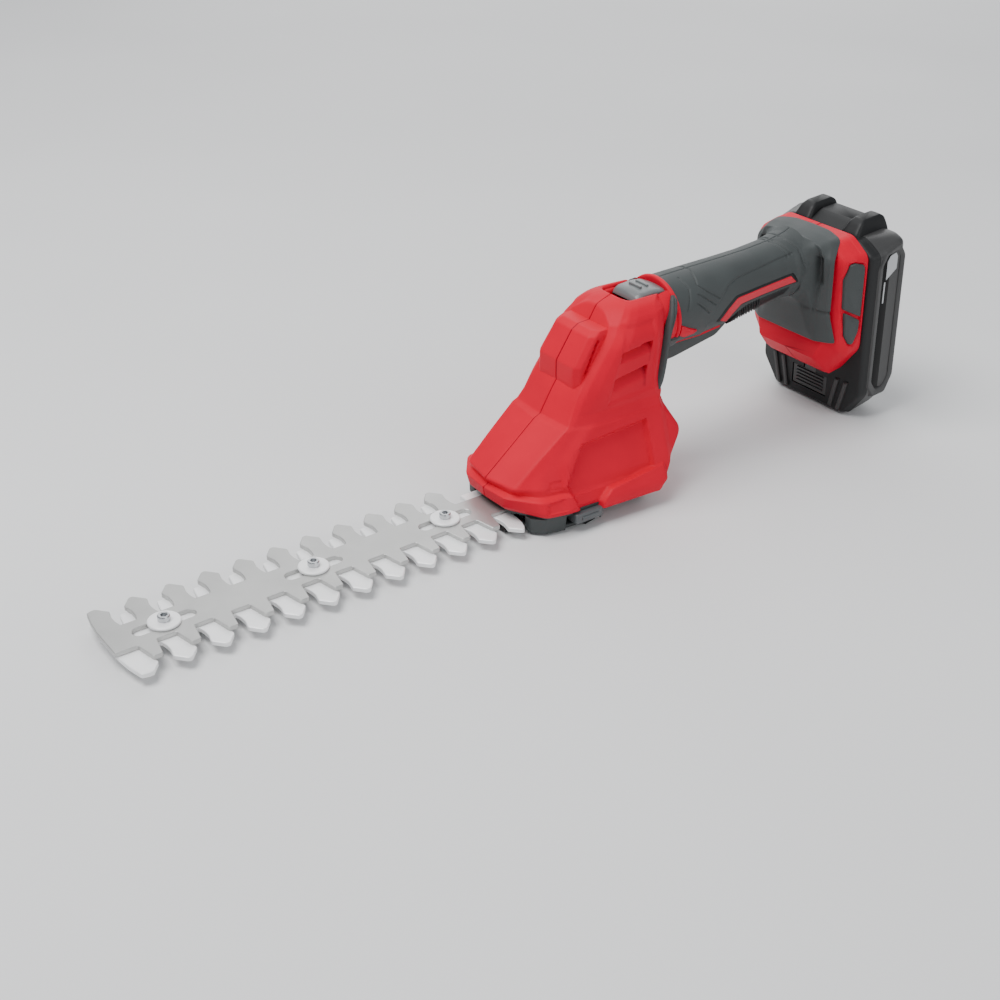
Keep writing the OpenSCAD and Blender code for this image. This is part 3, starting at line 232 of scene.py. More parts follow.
class Build:
    """Collects grids and outlines into one mesh, each turned so that its faces look outward."""

    def __init__(self):
        self.points, self.faces, self.count = [], [], 0

    def keep(self, points, blocks):
        """Takes in points and blocks of faces as they are."""
        for block in blocks:
            self.faces.extend((block + self.count).tolist())
        self.points.append(points)
        self.count += len(points)

    def add(self, surface, blocks):
        """Takes in a closed surface, its faces turned by the sign of the volume inside them."""
        points = surface.reshape(-1, 3)
        p = points - points.mean(axis=0)
        volume = sum(
            np.einsum("ij,ij->", p[b[:, 0]], np.cross(p[b[:, k]], p[b[:, k + 1]]))
            for b in blocks for k in range(1, b.shape[1] - 1))
        self.keep(points, [b[:, ::-1] if volume < 0 else b for b in blocks])

    def tube(self, surface, caps=True):
        """Grid closed across its columns, with its first and last rows closed by faces."""
        rows, columns = surface.shape[:2]
        blocks = [grid_faces(rows, columns)]
        if caps:
            blocks.append(np.arange(columns)[::-1][None, :])
            blocks.append(((rows - 1) * columns + np.arange(columns))[None, :])
        self.add(surface, blocks)

    def pair(self, surface):
        """A tube on one side of the middle plane and its mirror image on the other."""
        for half in both(surface):
            self.tube(half)

    def hoop(self, surface):
        """Grid closed across its columns and from its last row to its first."""
        self.tube(np.concatenate([surface, surface[:1]]), caps=False)

    def shell(self, outer, inner):
        """Sheet with thickness: rows run over the outer grid and back over the inner one, with strips at the ends."""
        surface = np.concatenate([outer, inner[:, ::-1]], axis=1)
        rows, columns = surface.shape[:2]
        j, back = np.arange(outer.shape[1] - 1), columns - 1
        first = np.stack([j, back - j, back - 1 - j, j + 1], 1)
        last = np.stack([j, j + 1, back - 1 - j, back - j], 1) + (rows - 1) * columns
        self.add(surface, [grid_faces(rows, columns), first, last])

    def plate(self, levels):
        """Plate from levels of (height, outlines), the first outline outside and the rest holes.

        Each level's outlines are joined to the next level's; the lowest and the highest are cut into triangles.
        """
        loops = levels[0][1]
        if area_of(loops[0]) < 0:
            raise RuntimeError("The outside outline of a plate must run counter-clockwise")
        points = [np.concatenate([flat(line, z) for line in outline]) for z, outline in levels]
        total, at, blocks = len(points[0]), 0, []
        for n in (len(line) for line in loops):
            j = at + np.arange(n)
            k = at + (np.arange(n) + 1) % n
            for i in range(len(levels) - 1):
                a, b = i * total, (i + 1) * total
                blocks.append(np.stack([a + j, a + k, b + k, b + j], 1))
            at += n
        for i, flip in ((0, True), (len(levels) - 1, False)):
            tri = np.array(tessellate_polygon([[Vector((x, y, 0)) for x, y in line] for line in levels[i][1]]))
            p = points[i][tri]
            d, e = p[:, 1] - p[:, 0], p[:, 2] - p[:, 0]
            up = d[:, 0] * e[:, 1] - d[:, 1] * e[:, 0] > 0
            blocks.append(np.where((up != flip)[:, None], tri, tri[:, ::-1]) + i * total)
        self.keep(np.concatenate(points), blocks)

    def make(self, name, slot, nodes=(), body="casing", finish=None, angle=40):
        """The mesh object in metres, with its finish, riding on a body and standing for CAD nodes."""
        mesh = bpy.data.meshes.new(name)
        mesh.from_pydata((np.concatenate(self.points) * MM).tolist(), [], self.faces)
        mesh.validate()
        mesh.polygons.foreach_set("use_smooth", np.ones(len(mesh.polygons), bool))
        mesh.set_sharp_from_angle(angle=math.radians(angle))
        mesh.update()
        piece = bpy.data.objects.new(name, mesh)
        bpy.context.scene.collection.objects.link(piece)
        mesh.materials.append(finishes()[finish or slot])
        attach(piece, body)
        if nodes:
            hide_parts(*nodes)
        return piece


def mark_painted_shade(piece, values):
    """Writes the attribute of painted shade, one number a point: how far the colour there is darkened to paint shade.
    """
    painted_shade = piece.data.attributes.new("painted_shade", "FLOAT", "POINT")
    painted_shade.data.foreach_set("value", np.asarray(values, np.float32).ravel())


# Finishes

MIX_A, MIX_B, MIX_RESULT = 6, 7, 2


def shade(colour, factor):
    """A colour made lighter or darker."""
    return tuple(min(1.0, c * factor) for c in colour)


def linear(*rgb):
    """Screen colour from 0 to 255 as linear light."""
    c = np.asarray(rgb, float) / 255
    return tuple(np.where(c <= 0.04045, c / 12.92, ((c + 0.055) / 1.055) ** 2.4))


class Finish:
    """A node material in the making: its principled shader and the procedures that feed it."""

    def __init__(self, name, colour, rough):
        self.material = bpy.data.materials.new(name)
        self.material.use_nodes = True
        self.nodes, self.links = self.material.node_tree.nodes, self.material.node_tree.links
        self.place = self.node("ShaderNodeTexCoord").outputs["Object"]
        self.set(Base_Color=(*colour, 1), Roughness=rough)

    def feed(self, node, inputs):
        """Puts a constant, or a link from another node's output, on each named input."""
        for name, value in inputs.items():
            socket = node.inputs[name.replace("_", " ")]
            if isinstance(value, bpy.types.NodeSocket):
                self.links.new(value, socket)
            else:
                socket.default_value = value

    def node(self, kind, **inputs):
        """New node with its inputs fed."""
        node = self.nodes.new(kind)
        self.feed(node, inputs)
        return node

    def set(self, **inputs):
        """Feeds the shader's own inputs."""
        self.feed(self.nodes["Principled BSDF"], inputs)

    def noise(self, scale, detail, stretch=None):
        """Noise on object coordinates, drawn out along axes by a stretch."""
        place = self.place
        if stretch:
            place = self.node("ShaderNodeMapping", Scale=stretch, Vector=place).outputs["Vector"]
        return self.node("ShaderNodeTexNoise", Scale=scale, Detail=detail, Vector=place).outputs["Fac"]

    def ramp(self, source, *stops):
        """Colour ramp over a source between two stops of (place, colour)."""
        ramp = self.node("ShaderNodeValToRGB", Fac=source)
        for element, (place, colour) in zip(ramp.color_ramp.elements, stops):
            element.position, element.color = place, (*colour, 1)
        return ramp.outputs["Color"]

    def span(self, source, low, high):
        """The middle of a noise, from 0.3 to 0.7, mapped to a range of numbers."""
        inputs = {"From_Min": 0.3, "From_Max": 0.7, "To_Min": low, "To_Max": high}
        return self.node("ShaderNodeMapRange", Value=source, **inputs).outputs["Result"]

    def bumps(self, *sources):
        """Bumps from (source, strength, distance), one over the other, on the shader."""
        last = {}
        for source, strength, distance in sources:
            bump = self.node("ShaderNodeBump", Strength=strength, Distance=distance, Height=source, **last)
            last = {"Normal": bump.outputs["Normal"]}
        self.set(**last)

    def with_painted_shade(self, source, dark):
        """Painted shade: a colour that turns dark as the mesh's attribute of painted shade goes from 0 to 1, to paint
        the shade in seams, scoops, screw wells and the saddle's recess.
        """
        painted_shade = self.node("ShaderNodeAttribute")
        painted_shade.attribute_name = "painted_shade"
        mix = self.node("ShaderNodeMix", Factor=painted_shade.outputs["Fac"])
        mix.data_type = "RGBA"
        self.links.new(source, mix.inputs[MIX_A])
        mix.inputs[MIX_B].default_value = (*dark, 1)
        return mix.outputs[MIX_RESULT]


def moulded(name, colour, rough, grain=5200, coat=0.0, depth=0.00006, drift=0.06, shine=0.5):
    """Moulded plastic: slow drift of colour from the flow in the tool, spark-eroded grain in bump and gloss."""
    m = Finish(name, colour, rough)
    flow, fine = m.noise(38, 3), m.noise(grain, 2)
    tint = m.ramp(flow, (0.3, shade(colour, 1 - drift)), (0.7, shade(colour, 1 + drift)))
    # Painted shade: the base colour turns towards a much darker copy of itself where the mesh marks painted shade.
    m.set(Base_Color=m.with_painted_shade(tint, shade(colour, 0.16)), Roughness=m.span(fine, rough - 0.05, rough + 0.06))
    m.bumps((fine, 0.35, depth), (flow, 0.04, 0.0004))
    m.set(Coat_Weight=coat, Coat_Roughness=0.3, Specular_IOR_Level=shine)
    return m.material


def soft_rubber(name, colour, rough):
    """Soft overmould: matt grain, faint handling shine and a little sheen."""
    m = Finish(name, colour, rough)
    worn, fine = m.noise(60, 5), m.noise(3600, 3)
    tint = m.ramp(worn, (0.32, shade(colour, 0.9)), (0.7, shade(colour, 1.12)))
    # Painted shade: the base colour turns towards a much darker copy of itself where the mesh marks painted shade.
    m.set(Base_Color=m.with_painted_shade(tint, shade(colour, 0.2)), Roughness=m.span(worn, rough - 0.06, rough + 0.06))
    m.bumps((fine, 0.45, 0.00008), (worn, 0.05, 0.0003))
    m.set(Sheen_Weight=0.03, Sheen_Roughness=0.5)
    return m.material


def ground_steel(name, colour, rough, stretch, lay=2600, metallic=1.0):
    """Ground steel: fine parallel scratches from the wheel, in bump and gloss, with cloudy tint."""
    m = Finish(name, colour, rough)
    lines, cloud = m.noise(lay, 3, stretch), m.noise(55, 4)
    tint = m.ramp(cloud, (0.3, shade(colour, 0.93)), (0.7, shade(colour, 1.05)))
    m.set(Base_Color=tint, Roughness=m.span(lines, rough - 0.06, rough + 0.08), Metallic=metallic)
    m.bumps((lines, 0.2, 0.00005))
    return m.material


def metal(name, colour, rough):
    """Turned or stamped metal with cloudy tint and fine scratches."""
    return ground_steel(name, colour, rough, (1, 1, 6), 1800)


def bare_board(name, colour):
    """Circuit board lacquer with faint tracks."""
    m = Finish(name, colour, 0.4)
    wave = m.node("ShaderNodeTexWave", Scale=260, Distortion=3, Vector=m.place).outputs["Fac"]
    m.set(Base_Color=m.ramp(wave, (0.45, colour), (0.6, shade(colour, 1.5))))
    m.bumps((wave, 0.1, 0.00005))
    return m.material


RGB = {"subtype": "COLOR", "size": 3, "min": 0, "max": 1}


class ShearsColours(bpy.types.PropertyGroup):
    """Colours of the finishes."""

    red: bpy.props.FloatVectorProperty(
        name="Casing red", description="Colour of the casing's plastic", default=linear(212, 4, 44), **RGB)
    grip: bpy.props.FloatVectorProperty(
        name="Soft grip", description="Colour of the soft cover on grip and foot", default=linear(57, 62, 62), **RGB)
    black: bpy.props.FloatVectorProperty(
        name="Black plastic", description="Colour of the battery pack's front", default=linear(24, 25, 26), **RGB)
    charcoal: bpy.props.FloatVectorProperty(
        name="Charcoal plastic", description="Colour of the pack's back and frames", default=linear(56, 56, 56), **RGB)
    grey: bpy.props.FloatVectorProperty(
        name="Grey plastic", description="Colour of the release buttons", default=linear(80, 84, 86), **RGB)
    steel: bpy.props.FloatVectorProperty(
        name="Blade steel", description="Colour of the sliding blade", default=linear(190, 190, 188), **RGB)


class ShearsSizes(bpy.types.PropertyGroup):
    """Sizes of the scene's own details, in metres."""

    panel_depth: bpy.props.FloatProperty(
        name="Panel depth", description="Depth of the recessed side panel",
        default=2.2 * MM, min=0, max=4 * MM, unit="LENGTH")
    tab_height: bpy.props.FloatProperty(
        name="Tab height", description="Height of the raised tab on the head's lower edge",
        default=1.6 * MM, min=0, max=2.5 * MM, unit="LENGTH")
    scoop_depth: bpy.props.FloatProperty(
        name="Scoop depth", description="Depth of the air scoops in the column's sides",
        default=3.6 * MM, min=0, max=4 * MM, unit="LENGTH")
    grind: bpy.props.FloatProperty(
        name="Ground edge", description="Width of the ground edge on the blades' teeth",
        default=0.35 * MM, min=0.1 * MM, max=1.6 * MM, unit="LENGTH")
    groove: bpy.props.FloatProperty(
        name="Groove depth", description="Depth of the grooves in the soft grip",
        default=0.6 * MM, min=0, max=1 * MM, unit="LENGTH")


@functools.cache
def finishes():
    """All finishes by name, made once; a record slot's own finish has the slot's name."""
    c = bpy.context.scene.shears_colours
    return {
        "red_plastic": moulded("casing_red", c.red, 0.48, shine=0.14),
        "soft_grip": soft_rubber("grip_overmould", c.grip, 0.6),
        "black_plastic": moulded("pack_black", c.black, 0.48, shine=0.35),
        "charcoal_plastic": moulded("frame_charcoal", c.charcoal, 0.4),
        "grey_plastic": moulded("button_grey", c.grey, 0.36, coat=0.1),
        "gloss_black": moulded("label_gloss", linear(12, 12, 13), 0.42, grain=900, depth=0.00001, shine=0.2),
        # Painted reflection: near-white and barely metallic, so the ground teeth and washers look as bright as polished
        # steel reflecting the studio.
        "bright_steel": ground_steel("tooth_steel_painted_reflection", linear(252, 252, 252), 0.32, (1, 14, 1), metallic=0.12),
        "satin_steel": ground_steel("blade_steel", c.steel, 0.42, (16, 1, 1), metallic=0.7),
        "screw_steel": metal("screw_zinc", linear(196, 198, 200), 0.28),
        "motor_steel": metal("motor_can_steel", linear(150, 152, 156), 0.35),
        "cast_alloy": metal("gearbox_alloy", linear(140, 142, 146), 0.5),
        "bronze": metal("bush_bronze", linear(176, 128, 74), 0.35),
        "board": bare_board("board_lacquer", linear(22, 92, 52)),
        "wire_skin": soft_rubber("lead_insulation", linear(150, 24, 26), 0.5),
        "cell_skin": moulded("cell_wrap", linear(40, 84, 150), 0.3, grain=800),
        "slider_grey": moulded("slider_grey", linear(108, 111, 112), 0.32, coat=0.15),
        "tag_silver": moulded("tag_print", linear(186, 188, 190), 0.34, grain=1500),
        "stripe_red": moulded("stripe_insert", shade(c.red, 0.95), 0.4),
        "dark_screw": metal("screw_black", linear(74, 75, 78), 0.38),
        # Near-black red for the sheets that paint the shadow inside the pod's slots.
        "slot_shadow_paint": moulded("vent_shadow", linear(20, 8, 9), 0.7),
    }


NODE_FINISH = {node: finish for finish, nodes in {
    "dark_screw": "base_screws housing_screws",
    "black_plastic": "blade_carrier motor_cap switch_body terminal_block",
    "charcoal_plastic": "motor_magnets pack_latch",
    "screw_steel": "carrier_screws plate_screws motor_screws slider_spring trigger_pin trigger_spring "
                   "release_springs cell_straps latch_spring",
    "motor_steel": "blade_spacers gear_shaft gear_clip drive_gear crank_pin motor_can motor_shaft motor_pinion",
    "cast_alloy": "gearbox_plate",
    "bronze": "gear_bush crank_roller motor_bearings rotor_core terminal_blades",
    "stripe_red": "switch_plunger",
    "board": "circuit_board",
    "wire_skin": "wiring",
    "cell_skin": "pack_cells",
}.items() for node in nodes.split()}


class SHEARS_OT_carried(bpy.types.Operator):
    """Finishes of the solids that show as they are"""

    bl_idname = "shears.carried"
    bl_label = "Carried solids"

    def execute(self, context):
        f = finishes()
        for name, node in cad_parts.items():
            node.data.materials.clear()
            node.data.materials.append(f[NODE_FINISH.get(name, "red_plastic")])
        return {"FINISHED"}


# Head: rings of (x, half width) at a height, then rows of (x, half width, z) over the top

HEAD_RINGS = [
    (11.0, [(-37.5, 0), (-37, 13), (-27, 31), (-16, 33.7), (-4, 34.6), (38.5, 37.5), (43, 31), (44, 0)]),
    (13.0, [(-39.7, 0), (-38.7, 14), (-27.6, 31.4), (-16, 33.9), (-5, 34.6), (41.5, 38), (46.5, 31), (47.5, 0)]),
    (18.4, [(-40.9, 0), (-39.6, 15.6), (-28.6, 29.2), (-16, 31), (-10.5, 32.4), (47.5, 36), (52.5, 29.5), (53.5, 0)]),
    (19.7, [
        (-37.8, 0), (-36.2, 15.2), (-26.9, 25.8), (-15.5, 28.2), (-11.4, 31.1), (48.6, 35.6), (53.6, 29), (54.6, 0)]),
    (23.0, [(-40, 0), (-36.5, 18), (-27, 25), (-16, 28.2), (-13.5, 30), (51, 34.8), (56, 28), (57, 0)]),
    (32.6, [(-28, 0), (-25.8, 18.8), (-20, 22), (-16, 24), (-11, 27), (59.7, 31.5), (62, 25), (62.5, 0)]),
    (46.0, [(-11.6, 0), (-9, 20), (-6.5, 21), (-2, 22.3), (3, 24.2), (50, 26.4), (55, 20), (56, 0)]),
    (47.5, [(-8, 0), (-6.5, 19.5), (-4, 20.7), (0.5, 22), (6, 23.4), (49, 25.5), (54, 19.5), (55, 0)]),
    (52.0, [(-5.4, 0), (-3.8, 18.2), (-1.5, 20), (4, 21.5), (10, 22.2), (46.5, 24), (52, 19), (53.5, 0)]),
    (60.0, [(-0.9, 0), (0, 16.9), (2.5, 19.6), (8, 21.8), (14, 22.8), (44, 23.4), (50.5, 18.5), (52, 0)]),
    (84.0, [(17.0, 0), (17.2, 14.5), (19, 18.8), (22, 22), (26.5, 23.6), (44, 23.5), (50.5, 20), (52, 0)]),
]
TOP_ROWS = [
    [(23.8, 0, 95.3), (20.8, 13.6, 89.6), (23.6, 16.8, 90.4), (28, 18.4, 92.0),
     (33, 18.9, 92.5), (46, 18.8, 92.5), (52.5, 16.4, 92.5), (54, 0, 92)],
    [(29, 0, 97.2), (27.6, 11.4, 95.6), (29, 14, 95.6), (32, 15.2, 95.8),
     (36, 15.5, 96), (47, 15.2, 95.8), (53, 14, 94.4), (54.2, 0, 92.8)],
    [(32.4, 0, 98.4), (33, 6, 98.2), (34.2, 9, 97.9), (36, 10.6, 97.8),
     (40, 10.8, 97.9), (53, 10.8, 97.6), (54.2, 10.4, 93.6), (54.5, 0, 93.4)],
    [(33.6, 0, 97.6), (34, 6, 97.4), (34.9, 8.4, 97.2), (36.4, 9.6, 97.0),
     (40, 9.7, 97.0), (52.8, 9.7, 96.8), (53.8, 9.7, 93.4), (54.3, 0, 93.3)],
    [(34.2, 0, 93.4), (34.4, 6, 93.4), (35.2, 8.2, 93.4), (36.6, 9.5, 93.4),
     (40, 9.6, 93.4), (52.6, 9.6, 93.4), (53.6, 9.6, 93.3), (54.2, 0, 93.3)],
]
TOP_MIDDLE = [[(23.2, -7.6, 94.2)], [(28.8, -6.2, 97.0)]]
HEAD_ROW_RADIUS = [0.5, 0.9, 0.5, 0.35, 0.9, 8, 0.5, 0.5, 0.8, 4, 6, 1.0, 3, 0.8, 0.5, 0.3]
HEAD_COLUMN_RADIUS = [0, 0.15, 4, 1.2, 1.3, 1.4, 2.0, 3, 5, 0.15, 0]
# The last number is the painted shade on the seam's bent-in edges, from 0 to 1; it also paints the seams of the pod and
# the foot frame.
SEAM_GAP, SEAM_EDGE, SEAM_DEPTH, SEAM_PAINTED_SHADE = 0.06, 0.45, 0.5, 0.85
SIDE_PANEL = [(-14.4, 23.2), (-2.6, 40.4), (38, 43.6), (43.4, 32.4), (36.5, 20.5), (36.5, 3), (-6, 3), (-10, 12)]
SIDE_TAB = [(9, 18.0), (42.3, 21.6), (44, 5), (1.2, 5), (2.6, 13.2)]
NOSE_STEPS = (
    (0.7, [(-27, 12.6), (-25, 17.9), (-16.2, 18.4), (-15.4, 12.6)]),
    (0.4, [(-23.5, 21.6), (-21.2, 25.8), (-15, 26.4), (-15.4, 21.2)]),
)
BACK_EDGE = [(-20, 47), (46.5, 50.6), (52, 36), (44.5, 20), (44.5, 0), (-20, 0)]
COLUMN_FIELD = [(13.5, 53.5), (24, 91), (43, 91), (43.5, 55.5)]
SCOOPS = [
    ((18.0, 66.3), (37.8, 69.4), (38, 58), (17, 60.2)),
    ((22.1, 78.9), (40.4, 81), (39.4, 70.2), (20.6, 73.8)),
]
LINING_STEP = 6
NOSE_SCREW = (-27.5, 16.5, 24.5, 20.5)  # x, z, half width of the casing, level of the head
WELL_SCREWS = ((43, 18, 33.4, 3.0), (29, 88.2, 18.4, 3.2))  # x, z, half width, depth of the well
GRIP_SCREWS = ((67.9, -6.3, 11.2, 7.2), (98, -43, 28.5, 18.4))  # along, up, half width, level
# The last number is the painted shade in the screw wells, from 0 to 1.
WELL_RADIUS, WELL_SLOPE, WELL_PAINTED_SHADE = 3.3, 0.5, 0.55


def head_half():
    """Left half of the head as (outer grid, painted shade of its seam and scoops).

    The outer grid is the net of rings with rounded rows and columns, its two ends bent in to make the seam; then
    points move along the normals by smooth masks of the distance inside an outline: panel, tab, field and scoops.
    """
    s = bpy.context.scene.shears_sizes
    net = [[(x, -y, z) for x, y in ring] for z, ring in HEAD_RINGS]
    net = np.array(net + [[(x, -y, z) for x, y, z in row] for row in TOP_ROWS], float)
    middle = (net[:, :1] + net[:, 1:2]) / 2
    middle[len(HEAD_RINGS):len(HEAD_RINGS) + len(TOP_MIDDLE)] = TOP_MIDDLE
    front, back, edge = net[:, :1], net[:, -1:], [0, -SEAM_EDGE, 0]
    front_in, back_in = front + [SEAM_DEPTH, -SEAM_GAP, 0], back + [-SEAM_DEPTH, -SEAM_GAP, 0]
    front_in[-3:] = front[-3:] + [0, -SEAM_GAP, -SEAM_DEPTH]
    net = np.concatenate([front_in, front + edge, middle, net[:, 1:-1], back + edge, back_in], axis=1)
    outer = net_surface(net, HEAD_ROW_RADIUS, HEAD_COLUMN_RADIUS, step=0.48)
    n = outward(outer)
    x, y, z = np.moveaxis(outer, -1, 0)

    def mask(outline, width):
        return smooth(inside(outline, x, z) / width)

    side = smooth((-y - 15) / 4) * smooth((-n[..., 1] - 0.35) / 0.3)
    panel, tab = mask(SIDE_PANEL, 1.5) * (z < 45), mask(SIDE_TAB, 1.5)
    move = side * (-s.panel_depth / MM * panel * (1 - tab) + (s.tab_height / MM - 0.3) * tab)
    for depth, step in NOSE_STEPS:
        move = move - depth * mask(step, 0.7) * (y < -18)
    move = move - 2.2 * mask(BACK_EDGE, -6) * smooth((x - 40) / 4) * smooth((52 - z) / 3) * (y < -15)
    move = move - 0.5 * side * mask(COLUMN_FIELD, 2.2)
    # Painted shade: the seam's bent-in edges on the middle plane are darkened in colour.
    painted_shade = SEAM_PAINTED_SHADE * (-y < 0.1)
    for scoop in SCOOPS:
        tl, tr, _, bl = np.array(scoop)
        along = (tr - tl) / np.linalg.norm(tr - tl)
        height = (tl[1] - bl[1]) * along[0] - (tl[0] - bl[0]) * along[1]
        rise = ((z - bl[1]) * along[0] - (x - bl[0]) * along[1]) / height
        across = np.clip((x - tl[0]) / (tr[0] - tl[0]), 0, 1)
        depth, facing = mask(scoop, 0.75), n[..., 1] < -0.3
        move = move - s.scoop_depth / MM * depth * np.clip(0.12 + 0.88 * rise, 0, 1) ** 1.2 * facing
        # Painted shade in the scoops: darker towards the top edge and the right end, where their shadow falls.
        scoop_shade = depth * np.clip(rise, 0, 1) ** 1.6 * (0.4 + 0.6 * across ** 2)
        scoop_shade = scoop_shade + depth * smooth((across - 0.86) / 0.1) * 0.5
        painted_shade = np.maximum(painted_shade, 0.62 * np.minimum(scoop_shade, 1) * facing)
    moved = outer + n * move[..., None]
    skirt = smooth((x - 0.5) / 2) * smooth((40.5 - x) / 2) * np.clip((14 - z) / 3, 0, 1)
    moved[..., 2] -= 2.0 * skirt * (moved[..., 1] < -28)
    return moved, painted_shade


def lining(outer):
    """Inner grid of a head half: the outer one drawn in towards the middle plane and down from the top."""
    x, y, z = np.moveaxis(outer, -1, 0)
    centre = 24
    return np.stack([
        centre + (x - centre) * 0.93, np.minimum(y * 0.9 + 0.4, -SEAM_GAP), z - 1.6 * smooth((z - 90) / 4)], -1)


def screw_well(outer, x, z, depth):
    """Sinks a round well into a head half: points near a screw move across to one level. Gives its mask and level."""
    away = np.hypot(outer[..., 0] - x, outer[..., 2] - z)
    reach = -outer[..., 1]
    level = np.max(np.where(away < 0.6, reach, 0)) - depth
    mask = smooth((WELL_RADIUS - away) / WELL_SLOPE) * (reach > level)
    outer[..., 1] += (reach - level) * mask
    return mask, level


def casing_screw(x, z, half, level):
    """Socket screw across the casing, whose head stands on a level: profile (radius, height) turned round y."""
    tip = -4 - 0.3 * half
    head = [(1.5, 0), (2.6, 0), (2.6, 1.1), (2.3, 1.4), (1.3, 1.4), (1.25, 0.5), (0.02, 0.5)]
    return lathe([(0.02, tip), (1.5, tip)] + [(r, level + h) for r, h in head], (x, 0, z), "y")


class SHEARS_OT_head(bpy.types.Operator):
    """Red skins of the head's two casing halves, and the casing's screws"""

    bl_idname = "shears.head"
    bl_label = "Head"

    def execute(self, context):
        outer, painted_shade = head_half()
        coarse = np.unique(np.append(np.arange(0, outer.shape[1], LINING_STEP), outer.shape[1] - 1))
        screws = Build()
        screws.tube(casing_screw(*NOSE_SCREW))
        for side in ("left", "right"):
            if side == "right":
                for x, z, half, depth in WELL_SCREWS:
                    mask, level = screw_well(outer, x, z, depth)
                    # Painted shade in the screw wells.
                    painted_shade = np.maximum(painted_shade, WELL_PAINTED_SHADE * mask)
                    screws.tube(casing_screw(x, z, half, level))
            ring = np.concatenate([outer, lining(outer)[:, coarse[::-1]]], axis=1)
            rows, columns = ring.shape[:2]
            build = Build()
            build.tube(mirrored(ring) if side == "right" else ring, caps=False)
            build.faces += [list(range(columns)), list(range((rows - 1) * columns, rows * columns))]
            piece = build.make("head_skin_" + side, "red_plastic", ["housing_" + side])
            mark_painted_shade(piece, np.concatenate([painted_shade, np.zeros((rows, len(coarse)))], axis=1))
        for screw in GRIP_SCREWS:
            screws.tube(to_part(casing_screw(*screw)))
        screws.make("casing_screws", "screw_steel", ["housing_screws"], finish="dark_screw", angle=35)
        return {"FINISHED"}


POD_ROWS = (  # z, x of the front, x of the side's front, half width, half width of the front
    (59.8, 2.6, 4.4, 13.6, 11.8), (61.0, 1.6, 3.6, 14.4, 12.3), (64.2, 1.1, 3.3, 15, 12.5), (72.9, 0.9, 3.3, 15, 12.5),
    (86.2, 9.6, 12.2, 14.4, 11.9), (88.2, 13.2, 15, 13.6, 11), (88.6, 20, 20.4, 12.8, 10.4),
)
POD_COLUMN_RADIUS = [0, 0.12, 0.8, 0.7, 0.6, 0]
POD_SLOT, POD_SLOT_DEPTH = [(5.0, 69), (6.9, 69), (14.9, 85), (12.9, 85)], 1.6
# Near-black sheets sunk in the slots, which paint the shadow inside them.
POD_SLOT_SHADOW = [(5.7, 13.85, 70), (6.6, 13.85, 70), (14.4, 13.3, 84.4), (13.4, 13.3, 84.4)]
POD_SLOT_SHADOW_DEPTH = 1.2


class SHEARS_OT_pod(bpy.types.Operator):
    """Raised pod on the column's front, with slots in its sides"""

    bl_idname = "shears.pod"
    bl_label = "Pod"

    def execute(self, context):
        net = rings([
            ([xf + SEAM_DEPTH, xf, xf, xs, xs + 5, 27],
             [(SEAM_GAP, z), (SEAM_EDGE, z), (edge, z), (half, z), (half, z), (half, z)])
            for z, xf, xs, half, edge in POD_ROWS])
        columns = POD_COLUMN_RADIUS + POD_COLUMN_RADIUS[::-1]
        outer = net_surface(net, [0.4, 0.5, 0.6, 0.8, 0.7, 0.6, 0], columns, step=0.6, closed=True)
        x, y, z = np.moveaxis(outer, -1, 0)
        cut = smooth(inside(POD_SLOT, x, z) / 0.7) * (np.abs(y) > 12.8)
        outer[..., 1] = y - np.sign(y) * POD_SLOT_DEPTH * cut
        build, dark = Build(), Build()
        build.tube(outer)
        piece = build.make("column_pod", "red_plastic")
        # Painted shade along the seam on the middle plane.
        mark_painted_shade(piece, SEAM_PAINTED_SHADE * (np.abs(outer[..., 1]) < 0.1))
        # Painted shadow: near-black sheets in the slots stand for the shade inside them.
        dark.pair(np.stack([POD_SLOT_SHADOW, np.array(POD_SLOT_SHADOW) - [0, POD_SLOT_SHADOW_DEPTH, 0]]))
        dark.make("pod_slot_shadows", "black_plastic", finish="slot_shadow_paint", angle=32)
        return {"FINISHED"}


NECK_ROWS = ((-17, 15.6), (-14, 17.2), (-4.4, 17.9), (-2.6, 17.4))  # place along, radius
POCKET_FLOOR, POCKET_HALF = 93.6, 9.7
COLLAR = [(12, -3.4), (17.5, -3.4), (18.2, -3.0), (18.4, -2.1), (18.2, -1.2), (17.5, -0.8), (12, -0.8)]
APRON_GRID, APRON_THICK = (24, 40), 2.4


